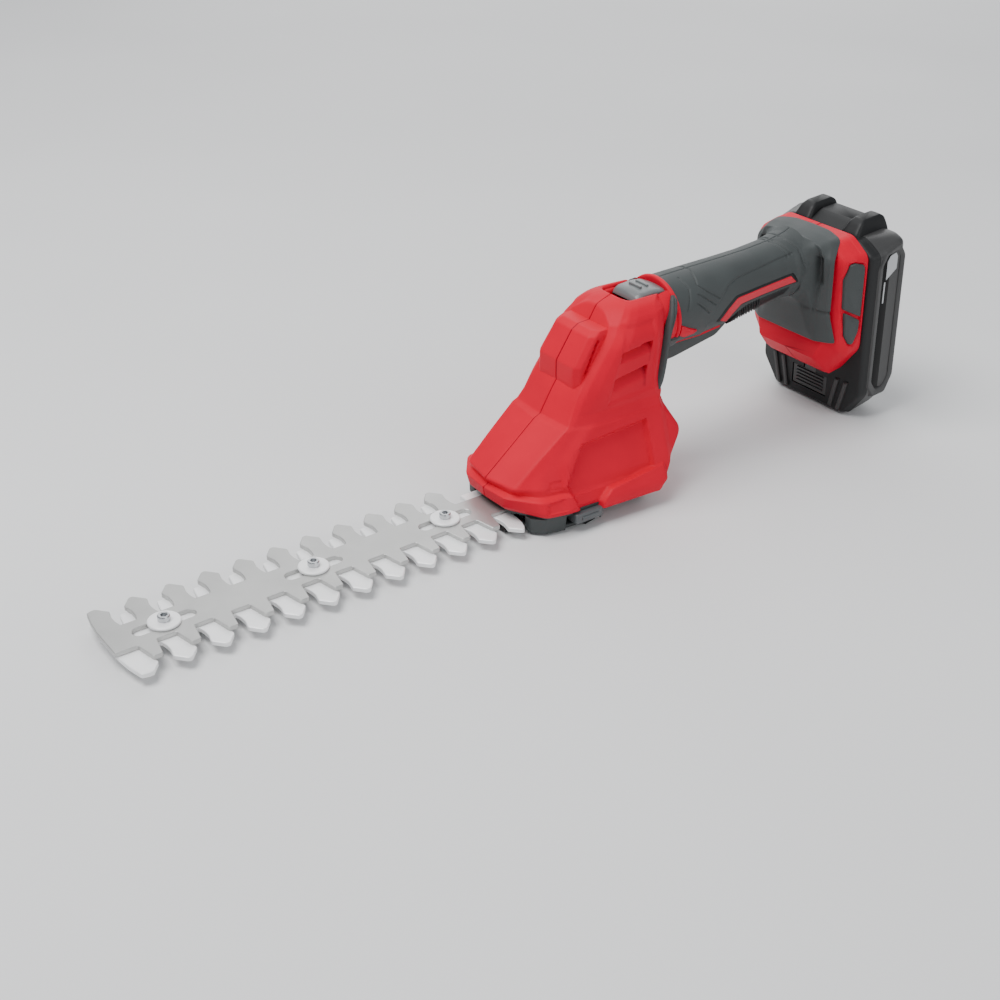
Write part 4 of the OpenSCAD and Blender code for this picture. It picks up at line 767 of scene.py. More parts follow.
class SHEARS_OT_neck(bpy.types.Operator):
    """Neck with the slider's pocket, the collar ring in front of the grip, and the dark aprons beside it"""

    bl_idname = "shears.neck"
    bl_label = "Neck and collar"

    def execute(self, context):
        neck, collar, apron = Build(), Build(), Build()
        rows = []
        for u, r in NECK_ROWS:
            start = math.asin((POCKET_HALF + 0.5) / r)
            a = np.linspace(start, 2 * math.pi - start, 72)
            floor = POCKET_FLOOR - (GRIP_Z + u * math.sin(GRIP_TILT))
            dip = np.array([(-POCKET_HALF - 0.2, floor + 1), (-POCKET_HALF, floor)])
            dip = np.concatenate([dip, dip[::-1] * [-1, 1]])
            line = np.concatenate([np.stack([r * np.sin(a), r * np.cos(a)], 1), dip])
            rows.append(np.column_stack([np.full(len(line), u), line]))
        neck.tube(to_part(rows))
        neck.make("neck_skin", "red_plastic", angle=38)
        collar.hoop(to_part(lathe(open_line(COLLAR, 0.4, 2), (0, 0, 0), "x", 96)))
        collar.make("collar_ring", "red_plastic")
        u = np.linspace(-13.5, -0.5, APRON_GRID[0])[:, None]
        a = np.radians(np.linspace(117, 151, APRON_GRID[1]))[None, :]
        r = np.interp(u, [-13.5, -4.4, -0.5], [18.3, 18.9, 19.2]) - 0.7 * (1 - smooth(from_rim(*APRON_GRID) / 2))
        outer, under = (
            to_part(np.stack([u + 0 * r, q * np.sin(a), q * np.cos(a)], -1)) for q in (r, r - APRON_THICK))
        for sheet in zip(both(outer), both(under)):
            apron.shell(*sheet)
        apron.make("grip_aprons", "soft_grip", angle=45)
        return {"FINISHED"}


SLIDER_ROWS = (  # x, half width, top, bottom
    (41, 8.2, 95.8, 94.5), (42, 8.8, 97.6, 94.2), (44.5, 9.1, 98.9, 94.2), (52, 9.1, 99.4, 94.2),
    (57.4, 9.1, 98.8, 94.2), (59.6, 8.9, 98.0, 94.2), (60.2, 8.5, 97.3, 94.5),
)


class SHEARS_OT_slider(bpy.types.Operator):
    """Grey lock slider with two raised bars"""

    bl_idname = "shears.slider"
    bl_label = "Lock slider"

    def execute(self, context):
        build = Build()
        across, drop = np.array([-1, -1, -0.82, 0, 0.82, 1, 1]), np.array([0, 1.9, 0.8, 0, 0.8, 1.9, 0])
        rows = []
        for x, half, top, low in SLIDER_ROWS:
            z = top - drop
            z[[0, -1]] = low
            rows.append(np.stack([np.full(len(z), x), half * across, z], 1))
        build.tube(net_surface(rows, 1.2, [0.5, 0.7, 3, 6, 3, 0.7, 0.5], step=0.9, closed=True))
        for x in (47.2, 51.4):
            build.tube(rounded_block((x, -4.2, 98.4), (x + 1.5, 4.2, 99.9), 0.45))
        build.make("slider_plate", "grey_plastic", ["lock_slider"], "slider", "slider_grey")
        return {"FINISHED"}


STRIP_PATH = [
    (46.8, -22.5, 54.0), (49.3, -21.9, 63), (52.5, -20.4, 79),
    (56.9, -18.2, 88.6), (59.6, -14.9, 93.8), (60.2, -13.2, 95.4)]
STRIP_SECTION = [
    (-1.9, -2.2), (1.9, -2.2), (1.9, 0.5), (1.2, 1.15), (0.35, 1.15),
    (0.15, 0.75), (-0.15, 0.75), (-0.35, 1.15), (-1.2, 1.15), (-1.9, 0.5)]
STRIP_OUT_LOW, STRIP_OUT_HIGH = np.array([0.55, -0.83, 0.0]), np.array([0.05, -0.75, 0.66])


class SHEARS_OT_strips(bpy.types.Operator):
    """Dark rubber strips down the back edge of the column"""

    bl_idname = "shears.strips"
    bl_label = "Back strips"

    def execute(self, context):
        path = open_line(STRIP_PATH, 8, 1.0)
        t = np.gradient(path, axis=0)
        t /= np.linalg.norm(t, axis=1, keepdims=True)
        high = smooth((path[:, 2:] - 78) / 14)
        out = STRIP_OUT_LOW * (1 - high) + STRIP_OUT_HIGH * high
        out = out - np.sum(t * out, axis=1, keepdims=True) * t
        out /= np.linalg.norm(out, axis=1, keepdims=True)
        taper = (0.55 + 0.45 * smooth(from_ends(len(path)) / 5))[:, None, None]
        section = ring_line(STRIP_SECTION, 0.35, 2)[None]
        wide = np.cross(t, out)
        build = Build()
        build.pair(path[:, None] + taper * (section[..., :1] * wide[:, None] + section[..., 1:] * out[:, None]))
        build.make("back_strips", "soft_grip", ["rear_strips"])
        return {"FINISHED"}


# Base and blades

BASE_RIM = np.array([(-35.6, 13), (-26.0, 29.8), (-15.4, 32.4), (3.8, 33.4)])
BASE_WALL = [
    (-15.4, 26.8), (-15.4, 32.3), (-26.0, 29.7), (-31.4, 24.4),
    (-31.4, 19.8), (-29.4, 19.8), (-29.4, 23.0), (-25.2, 26.8)]
BASE_TOP = 11.2
SIDE_BLOCKS = (
    ((-15.5, 19, 0.8), (3.8, 22.9, BASE_TOP), 0.6),
    ((4.5, 19, 1.6), (5.6, 32.6, BASE_TOP), 0.4),
    ((3.4, 18.2, 0.2), (23, 25, BASE_TOP), 0.6),
)


def layers(outline, levels, radius):
    """Stack of rounded outlines at levels of (height, inset)."""
    line = ring_line(outline, radius, 4)
    return np.stack([flat(drawn_in(line, d), z) for z, d in levels])


class SHEARS_OT_base(bpy.types.Operator):
    """Black base plate with its faceted front, and the grey release buttons"""

    bl_idname = "shears.base"
    bl_label = "Base plate"

    def execute(self, context):
        build = Build()
        rim = np.concatenate([BASE_RIM[::-1] * [1, -1], BASE_RIM])
        rim = rim if area_of(rim) > 0 else rim[::-1]
        build.tube(layers(rim, [(8.7, 0.8), (9.0, 0.3), (BASE_TOP, 0)], 1.5))
        build.tube(layers(rim, [(0, 7), (0.6, 5.6), (1.6, 1.9), (2.2, 1.5), (3.5, 1.2), (3.8, 1.5)], 1.5))
        build.pair(layers(BASE_WALL, [(1.4, 0.7), (2.0, 0.5), (8.8, 0.2), (9.2, 0.15)], 0.5))
        for block in SIDE_BLOCKS:
            build.pair(rounded_block(*block))
        build.tube(rounded_block((22.2, -25, 0.2), (40, 25, BASE_TOP), 0.8))
        build.tube(rounded_block((3, -34.5, 9), (41.5, 34.5, BASE_TOP), 0.4))
        build.make("base_skin", "black_plastic", ["base_plate"], finish="soft_grip", angle=38)
        key = both(rounded_block((-12.4, 26.2, 4.5), (4.0, 35.6, 9.7), 0.8))
        ridge = both(rounded_block((-9.0, 35.2, 6.1), (0.8, 36.2, 8.0), 0.35))
        for name, *shapes in zip(("release_left", "release_right"), key[::-1], ridge[::-1]):
            button = Build()
            for shape in shapes:
                button.tube(shape)
            button.make(name + "_button", "grey_plastic", [name], name)
        return {"FINISHED"}


PITCH, TEETH, SPINE, TOOTH, HEEL = 17.0, 12, 8.8, 16.7, -36.0
TIP = HEEL - (TEETH - 1) * PITCH
TOOTH_BACK = [(-0.29, 0), (-0.245, 0.2), (-0.24, 0.42), (-0.31, 0.7)]
TOOTH_FRONT = [(-0.05, 1), (0.05, 1), (0.31, 0.7), (0.24, 0.42), (0.245, 0.2), (0.29, 0)]
LONG = TOOTH_BACK + TOOTH_FRONT
SHORT = [(-0.245, 0), (-0.125, 0.61), (0.125, 0.61), (0.245, 0)]
LOWER_TIP = [(-0.405, 0), (-0.35, 0.5), (-0.24, 0.96)] + TOOTH_FRONT
UPPER_TIP = [(-0.32, 0), (-0.27, 0.5), (-0.18, 0.96)] + TOOTH_FRONT
HEEL_TOOTH = TOOTH_BACK + [(-0.05, 0.97), (0.03, 1), (0.13, 0.86), (0.21, 0.62), (0.25, 0.35), (0.26, 0.05)]
LOWER_TAIL = [(-27, -9.6), (-25, -17), (-21, -17), (-21, 17), (-42, 17), (-42, SPINE)]
UPPER_TAIL = [(-10.2, -SPINE), (-10.2, -17), (10.2, -17), (10.2, 17), (-10.2, 17), (-10.2, SPINE)]
YOKE_HALF = np.array([6.04, 12.75])
BOLTS = [TIP + k * (HEEL - TIP) for k in (0.096, 0.479, 0.857)]
WASHER = [(2.05, 8.2), (6.9, 8.2), (7.1, 8.5), (7.1, 9.0), (6.7, 9.4), (3.4, 9.4), (2.05, 9.4)]
SCREW_HEAD = [(0.02, 9.4), (2.5, 9.4), (2.7, 9.6), (2.7, 11.5), (2.35, 11.95), (1.75, 12.0)]
SOCKET, SOCKET_HALF, SCREW_TURNS = [(1.0, 11.9), (0.96, 10.3), (0.03, 10.1)], 1.35, 48


def tooth_row(shares, first, count, side):
    """Corner points of a row of teeth: shares of the pitch along the blade and of the tooth's length across."""
    s = np.array(shares)
    i = np.arange(count)[:, None]
    return np.stack([first + (i + s[:, 0]) * PITCH, side * (SPINE + s[:, 1] * TOOTH) + 0 * i], -1).reshape(-1, 2)


def slot_line(centre, length, width):
    """Outline of a slot with round ends, clockwise, for a hole."""
    a = np.linspace(math.pi / 2, -math.pi / 2, 16)
    end = np.stack([(length - width) / 2 + width / 2 * np.cos(a), width / 2 * np.sin(a)], 1)
    return np.concatenate([end, -end]) + [centre, 0]


class SHEARS_OT_blades(bpy.types.Operator):
    """Lower and upper blade with ground teeth, guide washers and their socket screws"""

    bl_idname = "shears.blades"
    bl_label = "Blades"

    def execute(self, context):
        grind = context.scene.shears_sizes.grind / MM
        lower, upper, washers, screws = Build(), Build(), Build(), Build()
        low = ring_line(np.concatenate([
            tooth_row(LOWER_TIP, TIP, 1, -1), tooth_row(LONG, TIP + PITCH, TEETH - 2, -1),
            tooth_row(HEEL_TOOTH, HEEL, 1, -1), LOWER_TAIL,
            tooth_row(SHORT, TIP + PITCH / 2, TEETH - 2, 1)[::-1], tooth_row(LOWER_TIP[:1], TIP, 1, 1),
        ]), 0.7, 50)
        lower.plate([(4.0, [low]), (5.75, [low]), (6.0, [drawn_in(low, grind)])])
        lower.make("lower_blade_ground", "bright_steel", ["lower_blade"], angle=18)
        first = TIP - 0.14 * PITCH
        up = ring_line(np.concatenate([
            tooth_row(UPPER_TIP[:1], first, 1, -1), tooth_row(SHORT, first + PITCH / 2, TEETH - 1, -1), UPPER_TAIL,
            tooth_row(LONG, first + PITCH, TEETH - 2, 1)[::-1], tooth_row(UPPER_TIP, first, 1, 1)[::-1],
        ]), 0.7, 50)
        holes = [slot_line(x, 28.4, 6.0) for x in BOLTS]
        yoke = ring_line(YOKE_HALF * [(-1, 1), (1, 1), (1, -1), (-1, -1)], 0.4, 50)
        wide = [up] + holes + [yoke]
        thin = [drawn_in(up, 0.8 * grind)] + [drawn_in(h, 0.25) for h in holes] + [drawn_in(yoke, 0.2)]
        upper.plate([(6.1, wide), (7.85, wide), (8.1, thin)])
        upper.make("upper_blade_ground", "satin_steel", ["upper_blade"], "moving_blade", angle=18)
        a = np.linspace(0, 2 * math.pi, SCREW_TURNS, endpoint=False)
        hexagon = SOCKET_HALF / np.cos((a + math.pi / 6) % (math.pi / 3) - math.pi / 6)
        for x in BOLTS:
            washers.hoop(lathe(open_line(WASHER, 0.15, 3), (x, 0, 0), turns=72))
            socket = lathe(SOCKET, (0, 0, 0), turns=SCREW_TURNS) * np.stack([hexagon, hexagon, 1 + 0 * a], 1)
            screws.tube(np.concatenate([lathe(SCREW_HEAD, (x, 0, 0), turns=SCREW_TURNS), socket + [x, 0, 0]]))
        washers.make("guide_washers", "bright_steel", ["blade_washers"], angle=30)
        screws.make("guide_screws", "screw_steel", ["blade_screws"], angle=30)
        return {"FINISHED"}


# Grip: its radii along it, then lines of (place along, degrees from the top) that bound its raised bands

GRIP_AT = [0, 8, 20, 40, 58, 74, 86, 94]
TOP_R = [17.2, 16.9, 16.3, 15.3, 14.5, 14.7, 16.2, 19]
SIDE_R = [17.2, 16.9, 16.3, 15.2, 14.7, 15, 16, 18]
LOW_R = [17.6, 18.2, 19.6, 19.6, 18.6, 17.8, 17.6, 18]
STRIPE = (
    [(28, 122), (32.2, 104.5), (38.5, 91), (58.5, 91), (77, 89.5)],
    [(34.8, 132.5), (37.5, 118), (42.5, 106), (62, 106.5), (82.2, 107)])
STRIPE_BED = (
    [(25.6, 123), (30.4, 103), (37.4, 87.5), (58.5, 87.5), (78.5, 86)],
    [(36.6, 134), (38.9, 121), (43.4, 109.5), (62, 110), (84.4, 110.5)])
RIB_BAND = (
    [(38.4, 130), (41.6, 120), (47.5, 112.5), (59.8, 111.5), (78, 112)],
    [(37.6, 149), (45, 147), (52.5, 144), (62.8, 139), (75, 131)])
FRONT_CORNER = ([(-0.9, 96), (5.4, 108), (12.4, 120)], [(-0.9, 117), (3.6, 127), (10.6, 124.5)])
LOW_LINE = ([(-1.4, 146), (17, 147.5), (35, 149.5)], [(-1.4, 150.5), (17, 151.5), (35, 153)])
GROOVES = (  # degrees from the top, places along, width
    ([0, 8, 43.5, 60, 80], [17.4, 18.2, 14.8, 19.2, 26.5], 0.4), ([18, 45, 62, 79], [8, 9, 7, 4.2], 0.4),
    ([58, 88.5], [12.8, 23.8], 0.35), ([72, 97], [11.2, 19], 0.35),
    ([5, 54], [73.5, 76.8], 0.42), ([5, 53], [75.8, 79.2], 0.42),
    ([0, 21, 49, 71, 108], [80.6, 81.8, 84.5, 84.5, 90.5], 0.4),
)
STEP_LINE = [20.2, 26.5, 34, 40.5, 72.5, 86], [112, 85, 63.5, 57, 49.5, 49.5]  # places along, degrees
MEAN_R, COVER_THICK, BAND_SUNK, BAND_THICK = 16, 2.2, 0.7, 0.4
RIBS, RIB_SUNK, RIB_FLOOR = 25, 0.8, 1.3


def grip_point(u, a, h):
    """Point on the grip: u along it, angle a from its top, h above its surface.

    The section is an upper half circle and a lower half ellipse, whose radii run smoothly along the grip.
    """
    top, side, low = (np.interp(u, GRIP_AT, radii) for radii in (TOP_R, SIDE_R, LOW_R))
    c, s = np.cos(a), np.sin(a)
    across = np.abs(s) ** np.where(c >= 0, 1.0, 0.86) * np.sign(s)
    return np.stack([u + 0 * a, (side + h) * across, (np.where(c >= 0, top, low) + h) * c], -1)


def between(line_a, line_b, columns, rows):
    """Grids of (place along, angle) that run from one line of points to another."""
    t = np.linspace(0, 1, columns)
    a, b = (
        np.stack([np.interp(t, np.linspace(0, 1, len(line)), line[:, k]) for k in (0, 1)], 1)
        for line in (open_line(line_a, 2, 0.8), open_line(line_b, 2, 0.8)))
    s = np.linspace(0, 1, rows)[:, None, None]
    grid = a * (1 - s) + b * s
    return grid[..., 0], np.radians(grid[..., 1])


def grip_band(build, u, a, h, floor):
    """Closed bands on both sides of the grip: h above its surface, and a floor below it."""
    top, under = to_part(grip_point(u, a, h)), to_part(grip_point(u, a, np.full(u.shape, floor)))
    for sheet in zip(both(top), both(under)):
        build.shell(*sheet)


def groove_cuts(u, deg):
    """Depths of the grip cover's grooves, as shares of a groove: bell curves of the distance to each line."""
    cut = 0.6 * np.exp(-(deg / 1.1) ** 2) + 0 * u
    for at_deg, at_u, width in GROOVES:
        slope = np.gradient(np.interp(np.arange(181), at_deg, at_u)) / (math.radians(1) * MEAN_R)
        slope = slope[np.clip(deg.astype(int), 0, 180)]
        near = (u - np.interp(deg, at_deg, at_u)) / np.sqrt(1 + slope ** 2)
        ends = smooth((deg - at_deg[0] + 1) / 2) * smooth((at_deg[-1] + 1 - deg) / 2)
        cut = cut + np.exp(-(near / width) ** 2) * ends
    line = np.interp(u, *STEP_LINE)
    slope = np.gradient(line[:, 0], u[:, 0])[:, None]
    near = (deg - line) / np.sqrt(math.radians(MEAN_R) ** -2 + slope ** 2)
    cut = cut + 0.9 * np.exp(-(near / 0.4) ** 2) * smooth((u - 19.5) / 1) * smooth((82 - u) / 2)
    return cut + 0.7 * smooth(near / 0.8) * smooth((u - 19.5) / 1.5) * smooth((83 - u) / 3)


class SHEARS_OT_grip(bpy.types.Operator):
    """Soft covers of the grip with their grooves, red stripes, ribbed bands and front corners"""

    bl_idname = "shears.grip"
    bl_label = "Grip"

    def execute(self, context):
        groove = context.scene.shears_sizes.groove / MM
        u = np.linspace(-1.8, 90, 270)[:, None]
        start, stop = 0.003, np.radians(180 - 27 * smooth((53 - u) / 2.5))
        a = start + (stop - start) * np.linspace(0, 1, 150)[None, :]
        cut = groove_cuts(u, np.degrees(a))
        outer, inner = (grip_point(u + 0 * a, a, h) for h in (-groove * cut, -COVER_THICK + 0 * cut))
        for sheet in (outer, inner):
            sheet[..., 1] = np.maximum(sheet[..., 1], 0.03)
        for side, *sheet in zip(("right", "left"), both(to_part(outer)), both(to_part(inner))):
            build = Build()
            build.shell(*sheet)
            build.make("grip_skin_" + side, "soft_grip", ["grip_cover_" + side], angle=45)
        stripes, ribs, corners, beds = Build(), Build(), Build(), Build()
        for build, lines, columns, rows, proud, edge in (
            (stripes, STRIPE, 90, 14, 0.55, 2), (corners, FRONT_CORNER, 30, 16, 0.8, 1),
            (corners, LOW_LINE, 60, 8, 0.35, 2), (beds, STRIPE_BED, 90, 16, 0.1, 2),
        ):
            rim = smooth(from_rim(rows, columns) / edge)
            h = -BAND_SUNK + (proud + BAND_SUNK) * rim
            grip_band(build, *between(*lines, columns, rows), h, -BAND_SUNK - BAND_THICK)
        u, a = between(*RIB_BAND, 260, 16)
        along = np.linspace(0, 1, u.shape[1])[None, :]
        wave = (0.5 + 0.5 * np.cos(along * RIBS * 2 * math.pi)) * smooth((0.6 - along) / 0.05)
        h = -RIB_SUNK + (0.5 + 0.8 * smooth(1.6 * wave - 0.3)) * smooth(from_ends(len(u)) / 2)[:, None]
        grip_band(ribs, u, a, h, -RIB_FLOOR)
        beds.make("stripe_beds", "black_plastic", angle=45)
        stripes.make("grip_stripes", "red_plastic", finish="stripe_red", angle=45)
        ribs.make("grip_rib_bands", "black_plastic", angle=45)
        corners.make("grip_front_corners", "red_plastic", angle=45)
        return {"FINISHED"}


TRIGGER_TOP, TRIGGER_SIZE = np.array([46.0, -8.0]), np.array([53, 17.4])
TRIGGER_SHARES = [
    (0, 0.23), (0.11, 0.58), (0.245, 0.83), (0.79, 1), (0.96, 0.98), (1, 0.69),
    (0.94, 0.32), (0.65, 0.2), (0.51, 0.2), (0.19, 0.06), (0.06, -0.15)]
TRIGGER_ROWS = ((-7.5, 1.5), (-7.1, 0.7), (-6.2, 0.2), (-4, 0), (4, 0), (6.2, 0.2), (7.1, 0.7), (7.5, 1.5))


class SHEARS_OT_trigger(bpy.types.Operator):
    """Trigger under the grip, with rounded sides"""

    bl_idname = "shears.trigger"
    bl_label = "Trigger"

    def execute(self, context):
        outline = TRIGGER_TOP - np.array(TRIGGER_SHARES) * TRIGGER_SIZE
        line = ring_line(outline[::-1], 2.2, 2.0)
        build = Build()
        build.tube(to_part([upright(drawn_in(line, d), y) for y, d in TRIGGER_ROWS]))
        build.make("trigger_blade", "black_plastic", ["trigger"], "trigger", "soft_grip")
        return {"FINISHED"}


# Foot: places along, depth of the seam's dip, then the half ring's corners of (across, up)

FOOT_ROWS = (
    ([96.6, 96.6, 96.6, 96.6, 95.0, 93, 93, 93], 0.4, [(17.4, 9.6), (23, 2.6), (22.6, -40.5), (19, -51)]),
    (99.8, 0.4, [(20.6, 12.2), (30.3, 4.4), (30.4, -44.4), (20.8, -59.2)]),
    (105, 0.4, [(22, 13.1), (33, 5), (33, -47), (21, -64)]),
    (113.6, 0.4, [(22, 13.3), (33, 5), (33, -47), (21, -63.6)]),
    (114.05, 0.2, [(21.6, 12.6), (32.4, 4.6), (32.4, -46.6), (20.6, -63)]),
)
FOOT_COLUMN_RADIUS = [0, 0.15, 2.5, 3, 3, 2.5, 0.15, 0]
FOOT_FLANK = [92.6, 99.8, 105, 114], [23.4, 30.4, 33, 33]
PAD_WELL = [
    (98.9, -5), (101.4, 3.6), (104.4, 4.6), (111.2, 2.4), (112.6, -1), (112.6, -36), (108, -43.6), (104.2, -42.8),
    (101.2, -37), (99.3, -22)]
PADS = (
    [(99.9, -5), (102.2, 2.8), (104.5, 3.6), (110.6, 1.4), (111.7, -1), (111.7, -28), (100.4, -21.3)],
    [(101.4, -23.4), (111.2, -29.6), (110.9, -36), (107.4, -42.4), (104.6, -41.8), (102.2, -37)],
)
PAD_ROWS = ((-2.4, 0), (-0.4, 0), (0, 0.1), (0.22, 0.35), (0.3, 0.55))  # height over the flank, inset
RAIL_FRONT, RAIL_LIP, RAIL_WIDE, RAIL_NARROW, RAIL_TOP = 104, 110, 20.9, 16.9, 2.5
SADDLE_REAR = np.array([107.4, 107.2, 104.6, 95.6, 94.8, 94.8, 98.2, 98.2])
SADDLE_ROWS = (
    (84.5, [(0.05, 15.4), (8, 13.4), (13.2, 8.4), (15.4, 1.5), (15.5, -4), (14.2, -10.6), (8.8, -16.2), (0.05, -17.6)]),
    (88.5, [(0.05, 16.4), (9, 14.6), (14.6, 9.8), (16.6, 2), (16.8, -5), (15.6, -13), (10, -19.2), (0.05, -20.6)]),
    ([91.4, 91.4, 91.8, 93.8, 93.8, 91.6, 91.2, 91.2],
     [(0.05, 15.7), (11, 14.2), (17.4, 11), (18.4, 4), (18.6, -6), (17.6, -24), (16.5, -37), (0.05, -38)]),
    ([92.4, 92.4, 92.2, 92.0, 92.0, 92.0, 92.2, 92.2],
     [(0.05, 14.7), (12, 13.8), (19.6, 11.8), (22.0, 4.6), (22.2, -6), (20.6, -25), (20.8, -40.4), (0.05, -40.6)]),
    ([100, 100, 98.6, 93.6, 93.3, 93.3, 96.2, 96.2],
     [(0.05, 14.9), (12, 14.7), (21, 13.2), (25.2, 5.8), (25.8, -4.8), (25.8, -25), (27.6, -40.8), (0.05, -40.8)]),
    (SADDLE_REAR,
     [(0.05, 15.1), (12, 14.9), (21.9, 13.4), (26.6, 6.0), (27.3, -4.4), (27.3, -25.2), (29.6, -40.9), (0.05, -41)]),
    (SADDLE_REAR + 0.4,
     [(0.05, 12.4), (12, 12.3), (20.6, 11.2), (24.2, 4.6), (24.6, -4.4), (24.6, -25.2), (27, -40), (0.05, -40)]),
)
SADDLE_COLUMN_RADIUS = [0, 3, 2.5, 2, 2, 2, 2, 0]
SADDLE_RECESS = [(16.8, 7), (22.2, 7.4), (23.6, -7.6), (18.2, -10.8)]


def slotted(rows, half):
    """Rings of the foot with the rail's slot: their low middle runs up the slot's side, along its top and down."""
    rows = np.array(rows)
    for row in rows:
        run = np.flatnonzero((np.abs(row[:, 1]) < half) & (row[:, 2] < -45))
        n = len(run) // 4
        rest = len(run) - 2 * n
        up, down = (np.linspace(row[run[k], 2], RAIL_TOP, n, endpoint=False) for k in (0, -1))
        row[run, 1] = np.concatenate([np.full(n, -half), np.linspace(-half, half, rest), np.full(n, half)])
        row[run, 2] = np.concatenate([up, np.full(rest, RAIL_TOP), down[::-1]])
    return rows


def railed(body):
    """The foot's grid with its rail: a wide slot behind a lip, and a narrow one through the lip."""
    along, gap = body[:, 0, 0], 0.1

    def ring_at(u):
        k = np.searchsorted(along, u)
        t = (u - along[k - 1]) / (along[k] - along[k - 1])
        return (body[k - 1] * (1 - t) + body[k] * t)[None]

    front, lip = ring_at(RAIL_FRONT), ring_at(RAIL_LIP)
    inner = body[(along > RAIL_FRONT + gap) & (along < RAIL_LIP - gap)]
    return np.concatenate([
        body[along < RAIL_FRONT - gap], front, slotted(np.concatenate([front, inner, lip]), RAIL_WIDE),
        slotted(np.concatenate([lip, body[along > RAIL_LIP + gap]]), RAIL_NARROW)])


class SHEARS_OT_foot(bpy.types.Operator):
    """Red foot frame with the pack's rail, dark saddle over its front, and the two-part rubber pads"""

    bl_idname = "shears.foot"
    bl_label = "Foot"

    def execute(self, context):
        foot, cover, pads = Build(), Build(), Build()
        net = rings([
            (u, [(0.05, c[0][1] - dip), (0.6, c[0][1])] + c + [(0.6, c[-1][1]), (0.05, c[-1][1] + dip)])
            for u, dip, c in FOOT_ROWS])
        columns = FOOT_COLUMN_RADIUS + FOOT_COLUMN_RADIUS[::-1]
        body = net_surface(net, [0, 1.5, 1.5, 0.6, 0], columns, step=0.8, closed=True)
        x, y, z = np.moveaxis(body, -1, 0)
        well = smooth(inside(PAD_WELL, x, z) / 0.9) * smooth((np.abs(y) - 24) / 3)
        body = railed(body - outward(body) * (1.3 * well)[..., None])
        foot.tube(to_part(body))
        piece = foot.make("foot_frame", "red_plastic")
        # Painted shade along the seam on the middle plane.
        mark_painted_shade(piece, SEAM_PAINTED_SHADE * (np.abs(body[..., 1]) < 0.3))
        columns = SADDLE_COLUMN_RADIUS + SADDLE_COLUMN_RADIUS[::-1]
        saddle = net_surface(rings(SADDLE_ROWS), [0, 4, 1.6, 0.7, 0.7, 0.5, 0], columns, step=0.8, closed=True)
        x, y, z = np.moveaxis(saddle, -1, 0)
        across = np.minimum(np.abs(y) / 17, 1)
        seam = np.exp(-((z + 20.4 + 2.2 * across ** 2) / 0.45) ** 2) * smooth((x - 88.4) / 1.5)
        saddle = saddle - outward(saddle) * (0.5 * seam)[..., None]
        x, y, z = np.moveaxis(saddle, -1, 0)
        deep = smooth(inside(SADDLE_RECESS, np.abs(y), z) / 2) * smooth((x - 86) / 4)
        saddle[..., 0] += 1.7 * deep
        cover.tube(to_part(saddle))
        piece = cover.make("foot_saddle", "soft_grip", angle=45)
        # Painted shade in the saddle's recess and in its seam groove.
        mark_painted_shade(piece, 0.8 * np.maximum(deep, 0.7 * seam))
        for outline in PADS:
            line = ring_line(outline[::-1], 1.2, 1.6)
            rows = [(drawn_in(line, d), h) for h, d in PAD_ROWS]
            pads.pair(to_part([upright(p, np.interp(p[:, 0], *FOOT_FLANK) + h) for p, h in rows]))
        pads.make("foot_pad_rubbers", "soft_grip", ["foot_pads"])
        return {"FINISHED"}


# Battery pack

PACK_WAIST, PACK_MIDDLE = -40, 0.05
FRONT_ROWS = (  # place along, heights of crown and top, ends of the top, half width, shoulder, hip, foot, low
    (118.6, 10.3, 10.4, 13, 25, 35.4, 4, -75.9, 24.8, -90.6),
    (120.1, 10.6, 10.8, 13, 25.6, 35.6, 4.4, -76, 25, -91.3),
)
REAR_ROWS = (
    (120.3, 10.6, 10.8, 13, 25.6, 35.6, 4.4, -76, 25, -91.3),
    (136, 10.8, 10.9, 13, 29.8, 35.8, 8.5, -76, 25, -89.4),
    (139.5, 9.6, 9.6, 13, 28, 33.6, 7, -74, 23, -86.5),
    (141.9, 6.8, 6.8, 13, 25, 30.6, 4.4, -71.6, 20, -83.6),
    (141.9, 1.4, 1.4, 11, 21, 25.7, -0.8, -67.6, 16.8, -78),
    (141.1, 0.7, 0.7, 11, 20.6, 25, -1.4, -67.2, 16.5, -77.3),
)
FRONT_HALF = np.array([(13, 10.4), (25, 10.4), (35.4, 4), (35.4, -75.9), (24.8, -90.6)])
LATCH_ROOM = np.array([(4.5, -45.5), (4.5, -72.5), (12.5, -72.5), (12.5, -84.5)])
FRONT_LEVELS = ((114.4, 1.9), (115.1, 1.0), (116.4, 0.5), (118.6, 0))  # place along, inset
TONGUE = ((109.6, 20.5), (115.6, 16.5))  # reach, half width
RIDGES = ((14.6, 18.4), (20.2, 24.6))  # distance from the middle at the low and high end
LATCH_RIBS, LATCH_PITCH = 5, 2.0
HORN_ROWS = (  # height, then the block's ends along and across
    (8, 115.6, 141, 10, 23), (11.4, 116.4, 140.6, 11, 22),
    (16.4, 120.5, 138.6, 12.2, 20.8), (18, 123.4, 136, 13.4, 19.6))
BRIDGE_ROWS = tuple((w, u0, u1, -11, 11) for w, u0, u1 in (
    (8, 116, 141), (10.8, 116.6, 140.6), (14.2, 123.5, 138.6), (15, 126, 137)))
LABEL_FRAME = [
    (119.9, -3), (123.8, 4.4), (134.2, 7), (138.4, 0.4), (138.6, -69), (133.6, -78), (124.6, -78), (119.9, -71)]
LABEL_PLACE = [
    (122.5, -2), (125.8, 3.0), (132.6, 4.4), (135.3, 0.2), (135.3, -68.6), (131.6, -74), (125.8, -74), (122.5, -69.2)]
TAGS = (
    [(125.6, -0.4), (127.5, 2.2), (131.7, 2.9), (133.1, 0.6), (133.1, -6.2), (125.6, -10.8)],
    [(124.4, -11.6), (125.4, -11.6), (125.4, -23.6), (124.4, -23.6)],
)


